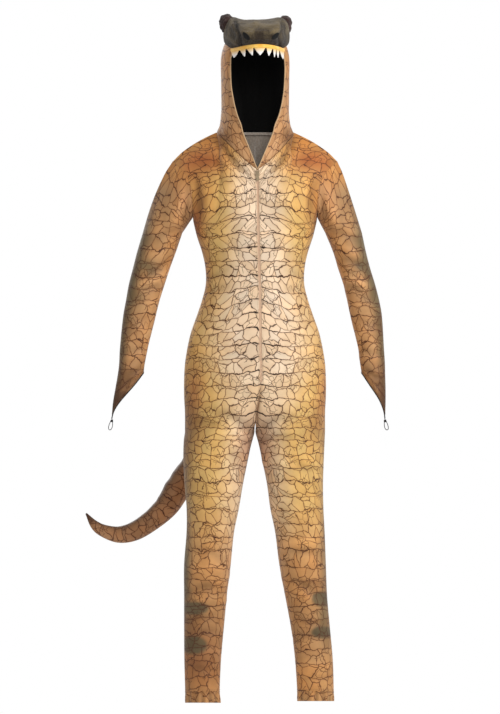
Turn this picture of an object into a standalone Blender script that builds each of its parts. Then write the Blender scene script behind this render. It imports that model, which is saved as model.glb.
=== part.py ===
"""Hooded dinosaur jumpsuit with a stuffed tail, as worn with no wearer in it.

The garment faces -Y and +Z is up. X = 0 is the middle plane, and side -1 is the wearer's right.
The origin lies between the shoulders, where the wearer holds the garment up.
Every cloth piece is a wall between an outer face, worked out from the tables of sizes below,
and an inner face moved in along the normals. Two pieces that meet at a seam share the seam's
points and its mitred normals, and each is drawn back by half the seam gap.
All sizes are in millimetres until the mesh is made.
"""

import math

import bmesh
import bpy
from mathutils import Vector

MM = 0.001

# Driving sizes of the cloth
CLOTH_WALL = 1.6
LINING_WALL = 1.2
FELT_WALL = 2.0
TAPE_WALL = 1.0
SEAM_GAP = 0.3

# Levels of the body, measured up from the shoulder line
ANKLE_SEAM = -1362.0
CROTCH = -728.0
CROTCH_RISE = 92.0
ZIP_BOTTOM = -608.0
LAST_FLAT_SECTION = -247.0
CHEST_ROW = -233.0
ARMPIT = -205.0
NECK_FRONT = -84.0
NECK_SIDE = 6.0
SHOULDER_TIP = Vector((204.0, 4.0, -62.0))
SHOULDER_BULGE = 6.0
CHEST_BULGE = 24.0
BACK_BULGE = 14.0

# Zip
ZIP_HALF_OPENING = 3.5
TAPE_WIDTH = 11.0
TAPE_GAP = 0.9
TAPE_END_DROP = 2.0

# Sleeve and hand cover
SLEEVE_START = -240.0
WRIST = -575.0
COVER_LENGTH = 115.0
BINDING_WIDTH = 6.0
LOOP_LENGTH = 26.0
LOOP_WIDTH = 11.0
ELASTIC_RADIUS = 0.9
LOOP_SEAT = 0.6
# The loop's strands part from the knot by this many radii, and it leans out by this much of its length
LOOP_STRAND_SHARE = 1.3
LOOP_LEAN = 0.2

# Hem
HEM_HEIGHT = {-1: 29.0, 1: 25.0}
HEM_GATHERS = 14
GATHER_DEPTH = 1.4
# Rows of the hem: share of its height, share of the gathers' depth, and how much wider it is there
HEM_ROWS = ((0.0, 0.0, 0.0), (0.25, 1.0, -2.0), (0.6, 0.8, 0.5), (1.0, 1.2, 2.5))

# Hood
HOOD_TOP = 264.0
DOME_START = 170.0
HOOD_CENTRE_Y = 5.0
FACE_TOP = 222.0
SNOUT_TURN = 0.079
DOME_CLEARANCE = 0.6
BROW_EDGE_CLEARANCE = 1.5

# Faces per quarter of a section
PANEL_COLUMNS = 8
PATCH_ROWS = 6


class Table:
    """Rows of sizes under named columns, read smoothly between the rows."""

    def __init__(self, columns, *rows):
        self.columns = columns
        self.rows = sorted(rows)

    def at(self, name, key):
        column = self.columns.index(name)
        keys = [row[0] for row in self.rows]
        values = [row[column] for row in self.rows]
        if key <= keys[0]:
            return values[0] + (key - keys[0]) * (values[1] - values[0]) / (keys[1] - keys[0])
        if key >= keys[-1]:
            return values[-1] + (key - keys[-1]) * (values[-1] - values[-2]) / (keys[-1] - keys[-2])
        i = max(n for n in range(len(keys) - 1) if keys[n] <= key)
        step = keys[i + 1] - keys[i]
        t = (key - keys[i]) / step

        def slope(n):
            low, high = max(n - 1, 0), min(n + 1, len(keys) - 1)
            return (values[high] - values[low]) / (keys[high] - keys[low])

        start, end = slope(i) * step, slope(i + 1) * step
        rise = values[i + 1] - values[i]
        bend = t * t * (3 * rise - 2 * start - end)
        return values[i] + t * start + bend + t ** 3 * (start + end - 2 * rise)


# Half widths and depths of the body from the crotch to the armpits
TORSO = Table(
    ("z", "outer", "front", "back", "zip_x"),
    (-728, 172, 96, 106, 1),
    (-680, 172, 100, 118, 6),
    (-640, 174, 103, 124, 12),
    (-600, 174, 105, 127, 15),
    (-561, 172, 106, 127, 15),
    (-522, 166, 106, 122, 14),
    (-483, 157, 105, 114, 13.5),
    (-443, 143, 101, 103, 13),
    (-404, 130, 96, 92, 12.7),
    (-365, 121, 93, 85, 12),
    (-325, 122, 97, 84, 11),
    (-287, 130, 104, 90, 10),
    (-247, 143, 110, 98, 9),
    (-205, 153, 112, 104, 8),
)

# Each leg's inner and outer edges and its depths
LEGS = {
    -1: Table(
        ("z", "inner", "outer", "front", "back"),
        (-1392, 84, 171, 43, 49),
        (-1365, 86, 171.5, 42, 48),
        (-1286, 83, 173.5, 43, 56),
        (-1208, 76, 174, 47, 64),
        (-1129, 68.6, 174, 54, 67),
        (-1051, 59, 174, 63, 66),
        (-973, 51, 168, 70, 74),
        (-914, 39, 168, 77, 82),
        (-855, 29, 173, 84, 90),
        (-796, 17, 176, 90, 98),
        (-750, 7, 175, 95, 103),
        (-728, 0, 172, 96, 106),
    ),
    1: Table(
        ("z", "inner", "outer", "front", "back"),
        (-1392, 104, 194, 43, 49),
        (-1365, 103, 193.5, 42, 48),
        (-1286, 98, 191, 43, 56),
        (-1208, 88, 184, 47, 64),
        (-1129, 73.5, 177, 54, 67),
        (-1051, 59, 174, 63, 66),
        (-973, 49, 171, 70, 74),
        (-914, 37, 168, 77, 82),
        (-855, 29, 167, 84, 90),
        (-796, 17, 169, 90, 98),
        (-750, 7, 171, 95, 103),
        (-728, 0, 172, 96, 106),
    ),
}

# A panel is two solids that part level with the crotch, so that each follows one hollow
PANEL_PARTS = (("leg_", ANKLE_SEAM, CROTCH, 0.0), ("", CROTCH, NECK_FRONT, SEAM_GAP / 2))

# Rows of the body panels from the ankle seam up to the chest
BODY_LEVELS = (
    ANKLE_SEAM, -1325, -1286, -1208, -1129, -1085, -1051, -1015, -973, -914, -855, -796, -750,
    CROTCH, -718, -704, -684, -660, -634, ZIP_BOTTOM, -575, -540, -500, -460, -425, -390, -355,
    -320, -287, LAST_FLAT_SECTION,
)

# The armhole, from the armpit (v = 0) to the shoulder tip (v = 1)
ARMHOLE = Table(
    ("v", "x", "front", "back", "z"),
    (0.0, 153, 0, 0, -205),
    (0.2, 153, -44, 46, -186),
    (0.4, 154, -60, 64, -155),
    (0.6, 159, -58, 64, -122),
    (0.8, 176, -38, 44, -90),
    (1.0, 204, 4, 4, -62),
)
ARMHOLE_CENTRE = Vector((172.0, 0.0, -135.0))

# Inner and outer edges, half depth and middle of each sleeve, down to the tip of the hand cover
SLEEVES = {
    -1: Table(
        ("z", "inner", "outer", "depth", "y"),
        (-700, 341, 352, 3.5, -23),
        (-690, 334, 351, 5.5, -23),
        (-655, 301, 348, 15, -22),
        (-620, 281, 342, 24, -20),
        (-585, 273, 336, 30, -17),
        (-561, 269.5, 333, 31, -15),
        (-522, 262, 331, 33, -12),
        (-443, 242.5, 323, 39, -7),
        (-404, 233, 316, 42, -5),
        (-365, 220.5, 309, 44, -3),
        (-326, 208, 299, 47, -1),
        (-287, 193.5, 289, 50, 0),
        (-240, 178, 275, 54, 0),
    ),
    1: Table(
        ("z", "inner", "outer", "depth", "y"),
        (-700, 308, 319, 3.5, -23),
        (-690, 300, 319, 5.5, -23),
        (-655, 283, 320, 15, -22),
        (-620, 268, 320, 24, -20),
        (-585, 261, 319, 30, -17),
        (-561, 257, 318.5, 31, -15),
        (-522, 252, 316, 33, -12),
        (-443, 233, 311, 39, -7),
        (-404, 225, 304, 42, -5),
        (-365, 215.6, 294, 44, -3),
        (-326, 203, 282, 47, -1),
        (-287, 191, 272, 50, 0),
        (-240, 172, 262, 54, 0),
    ),
}
SLEEVE_CAP_BULGE = {-1: 7.0, 1: 1.0}
SLEEVE_CAP_STEPS = (0.0, 0.12, 0.3, 0.5, 0.75, 1.0)
SLEEVE_LEVELS = (-262, -287, -326, -365, -404, -443, -483, -522, -553, WRIST)
COVER_STEPS = (0.25, 0.5, 0.75, 1.0)

# Sections of the hood: half width, depths and how far its front is turned aside
HOOD = Table(
    ("z", "width", "front", "back", "turn"),
    (-84, 99, 109, 67, 6),
    (-45, 98, 102, 67, 7),
    (-20, 97, 96, 67, 7.5),
    (6, 95, 92, 67, 8),
    (24, 87, 93, 71, 8.5),
    (45, 84, 96, 80, 9.5),
    (92, 82, 104, 97, 11),
    (132, 83, 108, 103, 11),
    (171, 84, 110, 104, 11),
    (222, 84, 110, 104, 7),
    (264, 84, 110, 104, 2),
)

# Half width of the face opening
FACE = Table(
    ("z", "half"),
    (-84, 0.0),
    (-76, 5.0),
    (-51, 17.6),
    (-24, 31.0),
    (10, 46.0),
    (51, 57.0),
    (92, 63.0),
    (132, 66.0),
    (185, 66.0),
    (200, 61.0),
    (211, 50.0),
    (218, 33.0),
    (222, 0.0),
)

# Rows of the hood: the level at its front edge and at its back
HOOD_ROWS = Table(
    ("row", "front", "back"),
    (0, -84, 6),
    (1, -68, 12),
    (2, -46, 20),
    (3, -20, 32),
    (4, 12, 50),
    (5, 50, 76),
    (6, 92, 106),
    (7, 132, 138),
    (8, 168, 170),
    (9, 194, 194),
    (10, 211, 211),
    (11, 218, 218),
    (12, 222, 222),
    (13, 234, 234),
    (14, 246, 246),
    (15, 256, 256),
    (16, 262, 262),
    (17, 264, 264),
)
HOOD_ROW_COUNT = 17
HOOD_COLUMNS = 8

# How full the dome is rounded, and how much of the hood's depth its top keeps
DOME_POWER = 2.4
TOP_DEPTH_SHARE = 0.35

# The stuffed crown and snout, in slices from back to front
SNOUT = Table(
    ("y", "half", "low", "high"),
    (-186, 24, 232, 250),
    (-181, 35, 228, 255),
    (-168, 48, 223, 262),
    (-140, 60, 215, 270),
    (-110, 70, 209, 277),
    (-80, 78, 206, 281),
    (-45, 82, 208, 283),
    (-15, 78, 220, 283),
    (15, 66, 236, 280),
    (40, 45, 250, 270),
)
SNOUT_SLICES = (40, 28, 12, -8, -30, -55, -82, -110, -138, -158, -171, -180, -186)
SNOUT_SEGMENTS = 24
SNOUT_ROUNDNESS = 2 / 3.2
SNOUT_MIDDLE = 0.45

# The rim of the mouth, and the teeth along it: edges, tip and length
RIM = Table(("across", "y"), (-66, -80), (-52, -125), (-36, -154), (-18, -168), (0, -172),
            (18, -168), (36, -154), (52, -125), (66, -80))
GUM_HEIGHT = 9.5
GUM_DROP = 1.1
TEETH = (
    {"start": -66.0, "end": -50.0, "tip": -60.0, "length": 15.0},
    {"start": -50.0, "end": -36.0, "tip": -38.0, "length": 18.0},
    {"start": -36.0, "end": -18.0, "tip": -20.0, "length": 18.0},
    {"start": -18.0, "end": 14.5, "tip": -1.0, "length": 19.0},
    {"start": 14.5, "end": 32.0, "tip": 21.0, "length": 19.0},
    {"start": 32.0, "end": 41.0, "tip": 36.0, "length": 20.0},
    {"start": 41.0, "end": 50.0, "tip": 46.0, "length": 19.0},
    {"start": 50.0, "end": 66.0, "tip": 62.0, "length": 18.0},
)
BROW = {-1: {"centre": (-69.0, -35.0, 276.0), "radii": (19.0, 24.0, 20.5)},
        1: {"centre": (73.0, -35.0, 273.0), "radii": (18.0, 24.0, 20.0)}}
NOSTRIL = {"y": -179.5, "half_y": 5.5, "angle": 4.0, "half_angle": 27.0, "thick": 1.5}

# The tail's middle line and radius, from its root at the seat to its tip
TAIL = Table(
    ("step", "x", "y", "z", "radius"),
    (0, 0, 126, -590, 58),
    (1, 0, 152, -596, 56),
    (2, -7, 186, -616, 53.5),
    (3, -27, 211, -656, 50.5),
    (4, -62, 222, -712, 47),
    (5, -108, 221, -772, 42.5),
    (6, -152, 214, -822, 37.5),
    (7, -189, 206, -867, 32.5),
    (8, -216, 200, -909, 29.5),
    (9, -252, 195, -943, 26),
    (10, -294, 190, -970, 24),
    (11, -333, 186, -979, 21),
    (12, -370, 183, -970, 16),
    (13, -393, 181, -955, 11.5),
    (14, -414, 180, -927, 2),
)
TAIL_STEPS = 14
TAIL_SEGMENTS = 8
TAIL_ROOT_GAP = 0.65
TAIL_ROOT_HOLLOW = 6.0

# Zip slider and pull tab
SLIDER = {"below_neck": 3.0, "width": 9.0, "height": 13.0, "thick": 2.6, "bridge": 2.0, "bar": 1.0,
          "room": 2.3, "bridge_length": 7.0, "post": 1.4, "overlap": 1.0}
PULL = {"width": 6.4, "length": 22.0, "thick": 1.2, "bar": 1.4, "eye_width": 3.2, "eye_height": 5.6,
        "taper": 3.0, "toe": 0.8, "toe_inset": 1.2}

# Materials: colour, roughness, metallic
FINISHES = {
    "scale_print": ((0.62, 0.38, 0.16), 0.7, 0.0),
    "lining_black": ((0.012, 0.011, 0.010), 0.8, 0.0),
    "plush_brown": ((0.10, 0.085, 0.06), 0.95, 0.0),
    "brow_brown": ((0.07, 0.045, 0.035), 0.95, 0.0),
    "gum_yellow": ((0.85, 0.50, 0.10), 0.85, 0.0),
    "tooth_white": ((0.85, 0.83, 0.78), 0.85, 0.0),
    "zip_beige": ((0.55, 0.42, 0.28), 0.8, 0.0),
    "zip_metal": ((0.50, 0.44, 0.33), 0.35, 1.0),
    "elastic_black": ((0.015, 0.015, 0.015), 0.7, 0.0),
}


def clamp(value, low, high):
    return max(low, min(high, value))


def mix(a, b, t):
    return a + (b - a) * t


def shell_object(name, faces_from, material):
    """Make a mesh object from a function that fills a bmesh, all its faces turned out."""
    mesh = bpy.data.meshes.new(name)
    work = bmesh.new()
    faces_from(work)
    bmesh.ops.recalc_face_normals(work, faces=work.faces)
    work.to_mesh(mesh)
    work.free()
    mesh.shade_smooth()
    mesh.set_sharp_from_angle(angle=math.radians(40))
    mesh.materials.append(material)
    made = bpy.data.objects.new(name, mesh)
    parts.objects.link(made)
    return made


def drawn_back(points, edges):
    """Move each outer row of points back from its seam, towards the next row."""
    low_u, high_u, low_v, high_v = edges
    rows = [list(row) for row in points]
    for j, row in enumerate(points):
        near = low_u(j) if callable(low_u) else low_u
        rows[j][0] = row[0] + (row[1] - row[0]).normalized() * near
        rows[j][-1] = row[-1] + (row[-2] - row[-1]).normalized() * high_u
    if low_v:
        rows[0] = [p + (q - p).normalized() * low_v for p, q in zip(rows[0], rows[1])]
    if high_v:
        rows[-1] = [p + (q - p).normalized() * high_v for p, q in zip(rows[-1], rows[-2])]
    return rows


def normals_of(point, us, vs, outward):
    """Normals of a surface by small steps, turned to the side that outward gives."""
    rows = []
    for v in vs:
        row = []
        for u in us:
            du = point(u + 0.001, v) - point(u - 0.001, v)
            dv = point(u, v + 0.02) - point(u, v - 0.02)
            row.append((du.cross(dv) * outward).normalized())
        rows.append(row)
    return rows


def two_triangles(work, a, b, c, d):
    """Split a four-sided face from a to c, so that pieces that lie on each other fold alike."""
    work.faces.new((a, b, c))
    work.faces.new((a, c, d))


def wall(name, points, normals, thickness, material, ring=False, depth=0.0):
    """A closed wall from a grid of outer points, moved in by depth, and its thickness."""

    def fill(work):
        outer = [[work.verts.new((p - n * depth) * MM) for p, n in zip(*pair)]
                 for pair in zip(points, normals)]
        inner = [[work.verts.new((p - n * (depth + thickness)) * MM) for p, n in zip(*pair)]
                 for pair in zip(points, normals)]
        columns, rows = len(points[0]), len(points)
        last = columns if ring else columns - 1
        for j in range(rows - 1):
            for i in range(last):
                k = (i + 1) % columns
                two_triangles(work, outer[j][i], outer[j][k], outer[j + 1][k], outer[j + 1][i])
                two_triangles(work, inner[j][i], inner[j + 1][i], inner[j + 1][k], inner[j][k])
        for j in (0, rows - 1):
            for i in range(last):
                k = (i + 1) % columns
                work.faces.new((outer[j][i], inner[j][i], inner[j][k], outer[j][k]))
        if not ring:
            for i in (0, columns - 1):
                for j in range(rows - 1):
                    work.faces.new((outer[j][i], outer[j + 1][i], inner[j + 1][i], inner[j][i]))

    return shell_object(name, fill, material)


def body_section(side, z):
    """Middle, half width and depths of one half of the body, or of one leg, at a level."""
    if z >= CROTCH:
        part_way = clamp(1 - (z - CROTCH) / CROTCH_RISE, 0, 1)
        outer = TORSO.at("outer", z)
        half = outer / (1 + part_way)
        return outer - half, half, TORSO.at("front", z), TORSO.at("back", z)
    leg = LEGS[side]
    inner, outer = leg.at("inner", z), leg.at("outer", z)
    return (inner + outer) / 2, (outer - inner) / 2, leg.at("front", z), leg.at("back", z)


def body_point(side, angle, z):
    """A point of the body's outer face: angle 0 is the front and 180 the back."""
    middle, half, front, back = body_section(side, z)
    turn = math.radians(angle)
    aside = TORSO.at("zip_x", z) if z >= CROTCH else 0.0
    aside *= max(0.0, math.cos(turn)) ** 2
    depth = front if math.cos(turn) > 0 else back
    return Vector((side * (middle + half * math.sin(turn)) + aside, -depth * math.cos(turn), z))


def seam_angle(side, z):
    """The angle of the middle seam, or of the inside leg seam, past the front."""
    middle, half, _, _ = body_section(side, z)
    return -math.degrees(math.asin(clamp(middle / half, 0, 1)))


def neck_point(side, angle):
    """The neckline, where the hood meets the body: angle 0 is the front and 180 the back."""
    rise = math.sin(math.radians(clamp(angle, 0, 90))) ** 1.2
    return hood_point(side, angle, mix(NECK_FRONT, NECK_SIDE, rise))


def neck_normal(side, angle):
    turn = math.radians(angle)
    return Vector((side * 0.9 * math.sin(turn), -0.9 * math.cos(turn), 0.45)).normalized()


def armhole_point(side, face, v):
    y = ARMHOLE.at("front" if face == "front" else "back", v)
    return Vector((side * ARMHOLE.at("x", v), y, ARMHOLE.at("z", v)))


def armhole_normal(side, point):
    centre = Vector((side * ARMHOLE_CENTRE.x, ARMHOLE_CENTRE.y, ARMHOLE_CENTRE.z))
    return (point - centre).normalized()


def panel_point(side, face, u, level):
    """A front or back panel: u runs from the middle seam to the side seam or armhole."""
    if level > CHEST_ROW:
        return chest_point(side, face, u, (level - CHEST_ROW) / (NECK_FRONT - CHEST_ROW))
    z = level
    if level > LAST_FLAT_SECTION:
        raised = mix(CHEST_ROW, ARMPIT, clamp(u, 0, 1.1) ** 6)
        z = mix(LAST_FLAT_SECTION, raised, (level - LAST_FLAT_SECTION) / (CHEST_ROW - LAST_FLAT_SECTION))
    start = seam_angle(side, z)
    angle = mix(start, 90, u)
    return body_point(side, angle if face == "front" else 180 - angle, z)


def chest_point(side, face, u, v):
    """The patch above the armpit, blended from its four edges: chest, neck, armhole, shoulder."""
    front = face == "front"

    def bottom(a):
        return panel_point(side, face, a, CHEST_ROW)

    def top(a):
        if a <= 0.5:
            return neck_point(side, 180 * a if front else 180 - 180 * a)
        k = (a - 0.5) / 0.5
        tip = Vector((side * SHOULDER_TIP.x, SHOULDER_TIP.y, SHOULDER_TIP.z))
        line = neck_point(side, 90).lerp(tip, k)
        line.z += SHOULDER_BULGE * math.sin(math.pi * k)
        return line

    def middle(b):
        line = bottom(0).lerp(top(0), b)
        line.y += math.sin(math.pi * b) * (-3.0 if front else BACK_BULGE)
        return line

    def outside(b):
        return armhole_point(side, face, b)

    corners = bottom(0) * (1 - u) * (1 - v) + bottom(1) * u * (1 - v)
    corners += top(0) * (1 - u) * v + top(1) * u * v
    point = bottom(u) * (1 - v) + top(u) * v + middle(v) * (1 - u) + outside(v) * u - corners
    bulge = math.sin(math.pi * clamp(u, 0, 1)) ** 2 * math.sin(math.pi * clamp(v, 0, 1))
    point.y += bulge * (-CHEST_BULGE if front else BACK_BULGE)
    return point


def panel_levels():
    rise = (NECK_FRONT - CHEST_ROW) / PATCH_ROWS
    return list(BODY_LEVELS) + [CHEST_ROW + rise * n for n in range(PATCH_ROWS + 1)]


def panel_grid(side, face):
    """Outer points and normals of a panel, with the shared normals along its seams."""
    us = [n / PANEL_COLUMNS for n in range(PANEL_COLUMNS + 1)]
    levels = panel_levels()

    def point(u, level):
        return panel_point(side, face, u, level)

    outward = side if face == "front" else -side
    points = [[point(u, level) for u in us] for level in levels]
    normals = normals_of(point, us, levels, outward)
    first_patch_row = len(BODY_LEVELS)
    for j in range(first_patch_row, len(levels)):
        normals[j][-1] = armhole_normal(side, points[j][-1])
        normals[j][0] = Vector((0, -1 if face == "front" else 1, 0))
    half = PANEL_COLUMNS // 2
    for i in range(half + 1):
        angle = 90 * i / half if face == "front" else 180 - 90 * i / half
        normals[-1][i] = neck_normal(side, angle)
    for i in range(half + 1, PANEL_COLUMNS):
        normals[-1][i] = neck_normal(side, 90).lerp(armhole_normal(side, points[-1][-1]),
                                                  (i - half) / half).normalized()
    return levels, points, normals


def make_panels(materials):
    """Front and back panels, each cut in one piece from the neck to the ankle, as two solids."""
    for side, label in ((-1, "right"), (1, "left")):
        for face in ("front", "back"):
            levels, points, normals = panel_grid(side, face)
            for part, lowest, highest, low_edge in PANEL_PARTS:
                rows = [j for j, level in enumerate(levels) if lowest <= level <= highest]

                def middle_edge(row):
                    on_zip = face == "front" and levels[rows[row]] >= ZIP_BOTTOM
                    return ZIP_HALF_OPENING if on_zip else SEAM_GAP / 2

                shaped = drawn_back([points[j] for j in rows],
                                    (middle_edge, SEAM_GAP / 2, low_edge, SEAM_GAP / 2))
                wall(f"{part}{face}_{label}", shaped, [normals[j] for j in rows], CLOTH_WALL,
                     materials["scale_print"])


def make_zip_tapes(materials):
    """A tape behind each front edge, from the neck to the end of the zip."""
    for side, label in ((-1, "right"), (1, "left")):
        levels, points, normals = panel_grid(side, "front")
        tape_points, tape_normals = [], []
        for level, row, row_normals in zip(levels, points, normals):
            if level < ZIP_BOTTOM:
                continue
            across = row[1] - row[0]
            reach = TAPE_WIDTH / across.length
            first = row[0] + across.normalized() * SEAM_GAP / 2
            tape_points.append([first, row[0] + across * reach])
            tape_normals.append([row_normals[0], row_normals[0].lerp(row_normals[1], reach).normalized()])
        tape_points[-1] = [p - Vector((0, 0, TAPE_END_DROP)) for p in tape_points[-1]]
        wall(f"zip_tape_{label}", tape_points, tape_normals, TAPE_WALL, materials["zip_beige"],
             depth=CLOTH_WALL + TAPE_GAP)


def make_hems(materials):
    """Gathered elastic casings at the ankles."""
    columns = HEM_GATHERS * 2
    for side, label in ((-1, "right"), (1, "left")):
        points, normals = [], []
        for share, depth, wider in HEM_ROWS:
            below = max(HEM_HEIGHT[side] * share, SEAM_GAP)
            ring, ring_normals = [], []
            for i in range(columns):
                angle = 360 * i / columns
                turn = math.radians(angle)
                out = Vector((side * math.sin(turn), -math.cos(turn), 0))
                gather = GATHER_DEPTH * depth * (1 if i % 2 else -1)
                ring.append(body_point(side, angle, ANKLE_SEAM - below) + out * (gather + wider))
                ring_normals.append(out)
            points.append(ring)
            normals.append(ring_normals)
        wall(f"hem_{label}", points, normals, CLOTH_WALL, materials["scale_print"], ring=True)


def sleeve_section(side, turn, z):
    table = SLEEVES[side]
    inner, outer, depth = table.at("inner", z), table.at("outer", z), table.at("depth", z)
    middle, half = (inner + outer) / 2, (outer - inner) / 2
    return Vector((side * (middle + half * math.cos(turn)), table.at("y", z) - depth * math.sin(turn), z))


def sleeve_point(side, u, row):
    """The sleeve: u runs round from the outside by the front, rows 0 to 1 are the cap.

    Past row 1 each row is 100 mm of sleeve, as far as the wrist. Then one row is the whole
    slanting hand cover, and one more is the binding below it.
    """
    turn = 2 * math.pi * u
    wrist_row = 1 + (SLEEVE_START - WRIST) / 100
    if row <= 1:
        part = u % 1.0
        face = "front" if part <= 0.5 else "back"
        v = 1 - 2 * part if part <= 0.5 else 2 * part - 1
        point = armhole_point(side, face, v).lerp(sleeve_section(side, turn, SLEEVE_START), row)
        outer_share = 0.5 + 0.5 * math.cos(turn)
        point.x += side * SLEEVE_CAP_BULGE[side] * math.sin(math.pi * clamp(row, 0, 1)) * outer_share
        return point
    if row <= wrist_row:
        return sleeve_section(side, turn, SLEEVE_START - (row - 1) * 100)
    slant = COVER_LENGTH * (0.04 + 0.96 * (0.5 + 0.5 * math.cos(turn)))
    down = slant * min(row - wrist_row, 1) + BINDING_WIDTH * max(row - wrist_row - 1, 0)
    return sleeve_section(side, turn, WRIST - down)


def make_sleeves(materials):
    """Sleeves with pointed hand covers, their bindings and the elastic finger loops."""
    columns = PATCH_ROWS * 2
    us = [n / columns for n in range(columns)]
    wrist_row = 1 + (SLEEVE_START - WRIST) / 100
    rows = list(SLEEVE_CAP_STEPS) + [1 + (SLEEVE_START - z) / 100 for z in SLEEVE_LEVELS]
    rows += [wrist_row + step for step in COVER_STEPS]
    for side, label in ((-1, "right"), (1, "left")):

        def point(u, row):
            return sleeve_point(side, u, row)

        points = [[point(u, row) for u in us] for row in rows]
        normals = normals_of(point, us, rows, side)
        normals[0] = [armhole_normal(side, p) for p in points[0]]
        points[0] = [p + (q - p).normalized() * SEAM_GAP for p, q in zip(points[0], points[1])]
        wall(f"sleeve_{label}", points, normals, CLOTH_WALL, materials["scale_print"], ring=True)

        start = wrist_row + 1 + SEAM_GAP / BINDING_WIDTH
        edge_rows = (start, wrist_row + 2)
        edge = [[point(u, row) for u in us] for row in edge_rows]
        wall(f"cuff_binding_{label}", edge, normals_of(point, us, edge_rows, side), CLOTH_WALL,
             materials["elastic_black"], ring=True)
        tip = (edge[1][0] + edge[1][1] + edge[1][-1]) / 3
        tip.z = edge[1][0].z - LOOP_SEAT
        make_finger_loop(side, label, tip, materials)


def make_finger_loop(side, label, tip, materials):
    """A teardrop of thin elastic that hangs from the tip of the hand cover."""
    curve = bpy.data.curves.new(f"finger_loop_{label}", "CURVE")
    curve.dimensions = "3D"
    curve.bevel_depth = ELASTIC_RADIUS * MM
    curve.bevel_resolution = 2
    curve.use_fill_caps = True
    steps = 18
    route = []
    for i in range(steps + 1):
        turn = 2 * math.pi * i / steps
        across = LOOP_WIDTH / 2 * math.sin(turn) * math.sin(turn / 2) ** 1.5
        if i in (0, steps):
            across = ELASTIC_RADIUS * LOOP_STRAND_SHARE * (1 if i == 0 else -1)
        down = LOOP_LENGTH * (0.5 - 0.5 * math.cos(turn))
        if 0 < i < steps:
            across += ELASTIC_RADIUS * LOOP_STRAND_SHARE * math.cos(turn / 2)
        route.append(Vector((side * across + side * LOOP_LEAN * down, 0, -down)))
    spline = curve.splines.new("POLY")
    spline.points.add(len(route) - 1)
    for knot, place in zip(spline.points, route):
        knot.co = (*((tip + place) * MM), 1.0)
    curve.materials.append(materials["elastic_black"])
    parts.objects.link(bpy.data.objects.new(f"finger_loop_{label}", curve))


def hood_point(side, angle, z):
    """The hood's outer face: angle 0 is the front and 180 the back."""
    turn = math.radians(angle)
    round_in = clamp((z - DOME_START) / (HOOD_TOP - DOME_START), 0, 1)
    dome = max(1 - round_in ** DOME_POWER, 0) ** (1 / DOME_POWER)
    width = HOOD.at("width", z) * dome
    depth = HOOD.at("front" if math.cos(turn) > 0 else "back", z) * mix(TOP_DEPTH_SHARE, 1.0, dome)
    aside = HOOD.at("turn", z) * max(0.0, math.cos(turn))
    return Vector((side * width * math.sin(turn) + aside, HOOD_CENTRE_Y - depth * math.cos(turn), z))


def hood_surface(side, u, row):
    """Rows climb from the neckline to the crown, and u runs from the face edge to the back seam."""
    front_z, back_z = HOOD_ROWS.at("front", row), HOOD_ROWS.at("back", row)
    start = 0.0
    if front_z < FACE_TOP:
        half = max(FACE.at("half", front_z), 0.0)
        start = math.degrees(math.asin(clamp(half / hood_point(1, 90, front_z).x, 0, 1)))
    angle = mix(start, 180, u)
    rise = math.sin(math.radians(clamp(angle, 0, 90))) ** 1.2
    return hood_point(side, angle, mix(front_z, back_z, rise))


def hood_grid(side):
    us = [n / HOOD_COLUMNS for n in range(HOOD_COLUMNS + 1)]
    rows = range(HOOD_ROW_COUNT + 1)

    def point(u, row):
        return hood_surface(side, u, clamp(row, 0, HOOD_ROW_COUNT))

    points = [[point(u, row) for u in us] for row in rows]
    normals = normals_of(point, us, rows, side)
    normals[0] = [neck_normal(side, 180 * u) for u in us]
    normals[-1] = [Vector((0, 0, 1)) for _ in us]
    for row in rows:
        if 0 < row < HOOD_ROW_COUNT:
            normals[row][-1].x = 0.0
            normals[row][-1].normalize()
            if HOOD_ROWS.at("front", row) >= FACE_TOP:
                normals[row][0].x = 0.0
                normals[row][0].normalize()
    return points, normals


def make_hood(materials):
    """Two hood halves, seamed over the crown and down the back, and the black lining inside."""
    for side, label in ((-1, "right"), (1, "left")):
        points, normals = hood_grid(side)
        shifted = drawn_back(points, (0.0, SEAM_GAP / 2, SEAM_GAP / 2, 0))
        for row, line in enumerate(shifted):
            if HOOD_ROWS.at("front", row) >= FACE_TOP:
                line[0] = line[0] + Vector((side * SEAM_GAP / 2, 0, 0))
            if row == HOOD_ROW_COUNT:
                shifted[row] = [p + Vector((side * SEAM_GAP / 2, 0, 0)) for p in line]
        wall(f"hood_{label}", shifted, normals, CLOTH_WALL, materials["scale_print"])
        wall(f"hood_lining_{label}", shifted, normals, LINING_WALL, materials["lining_black"],
             depth=CLOTH_WALL + SEAM_GAP)


def snout_point(angle, y, grow=0.0):
    """The crown and snout: a rounded slice at each y, turned a little with the head."""
    half, low, high = SNOUT.at("half", y), SNOUT.at("low", y), SNOUT.at("high", y)
    middle = mix(low, high, SNOUT_MIDDLE)
    turn = math.radians(angle)
    across, up = math.cos(turn), math.sin(turn)
    x = math.copysign(abs(across) ** SNOUT_ROUNDNESS, across) * (half + grow)
    height = (high - middle if up > 0 else middle - low) + grow
    z = middle + math.copysign(abs(up) ** SNOUT_ROUNDNESS, up) * height
    return Vector((x - SNOUT_TURN * y, y, z))


def snout_under(across, y):
    """Level of the snout's underside above a point of the mouth's rim."""
    half, low, high = SNOUT.at("half", y), SNOUT.at("low", y), SNOUT.at("high", y)
    middle = mix(low, high, SNOUT_MIDDLE)
    power = 2 / SNOUT_ROUNDNESS
    share = clamp(abs(across) / half, 0, 0.999)
    return middle - (middle - low) * (1 - share ** power) ** (1 / power)


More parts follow.
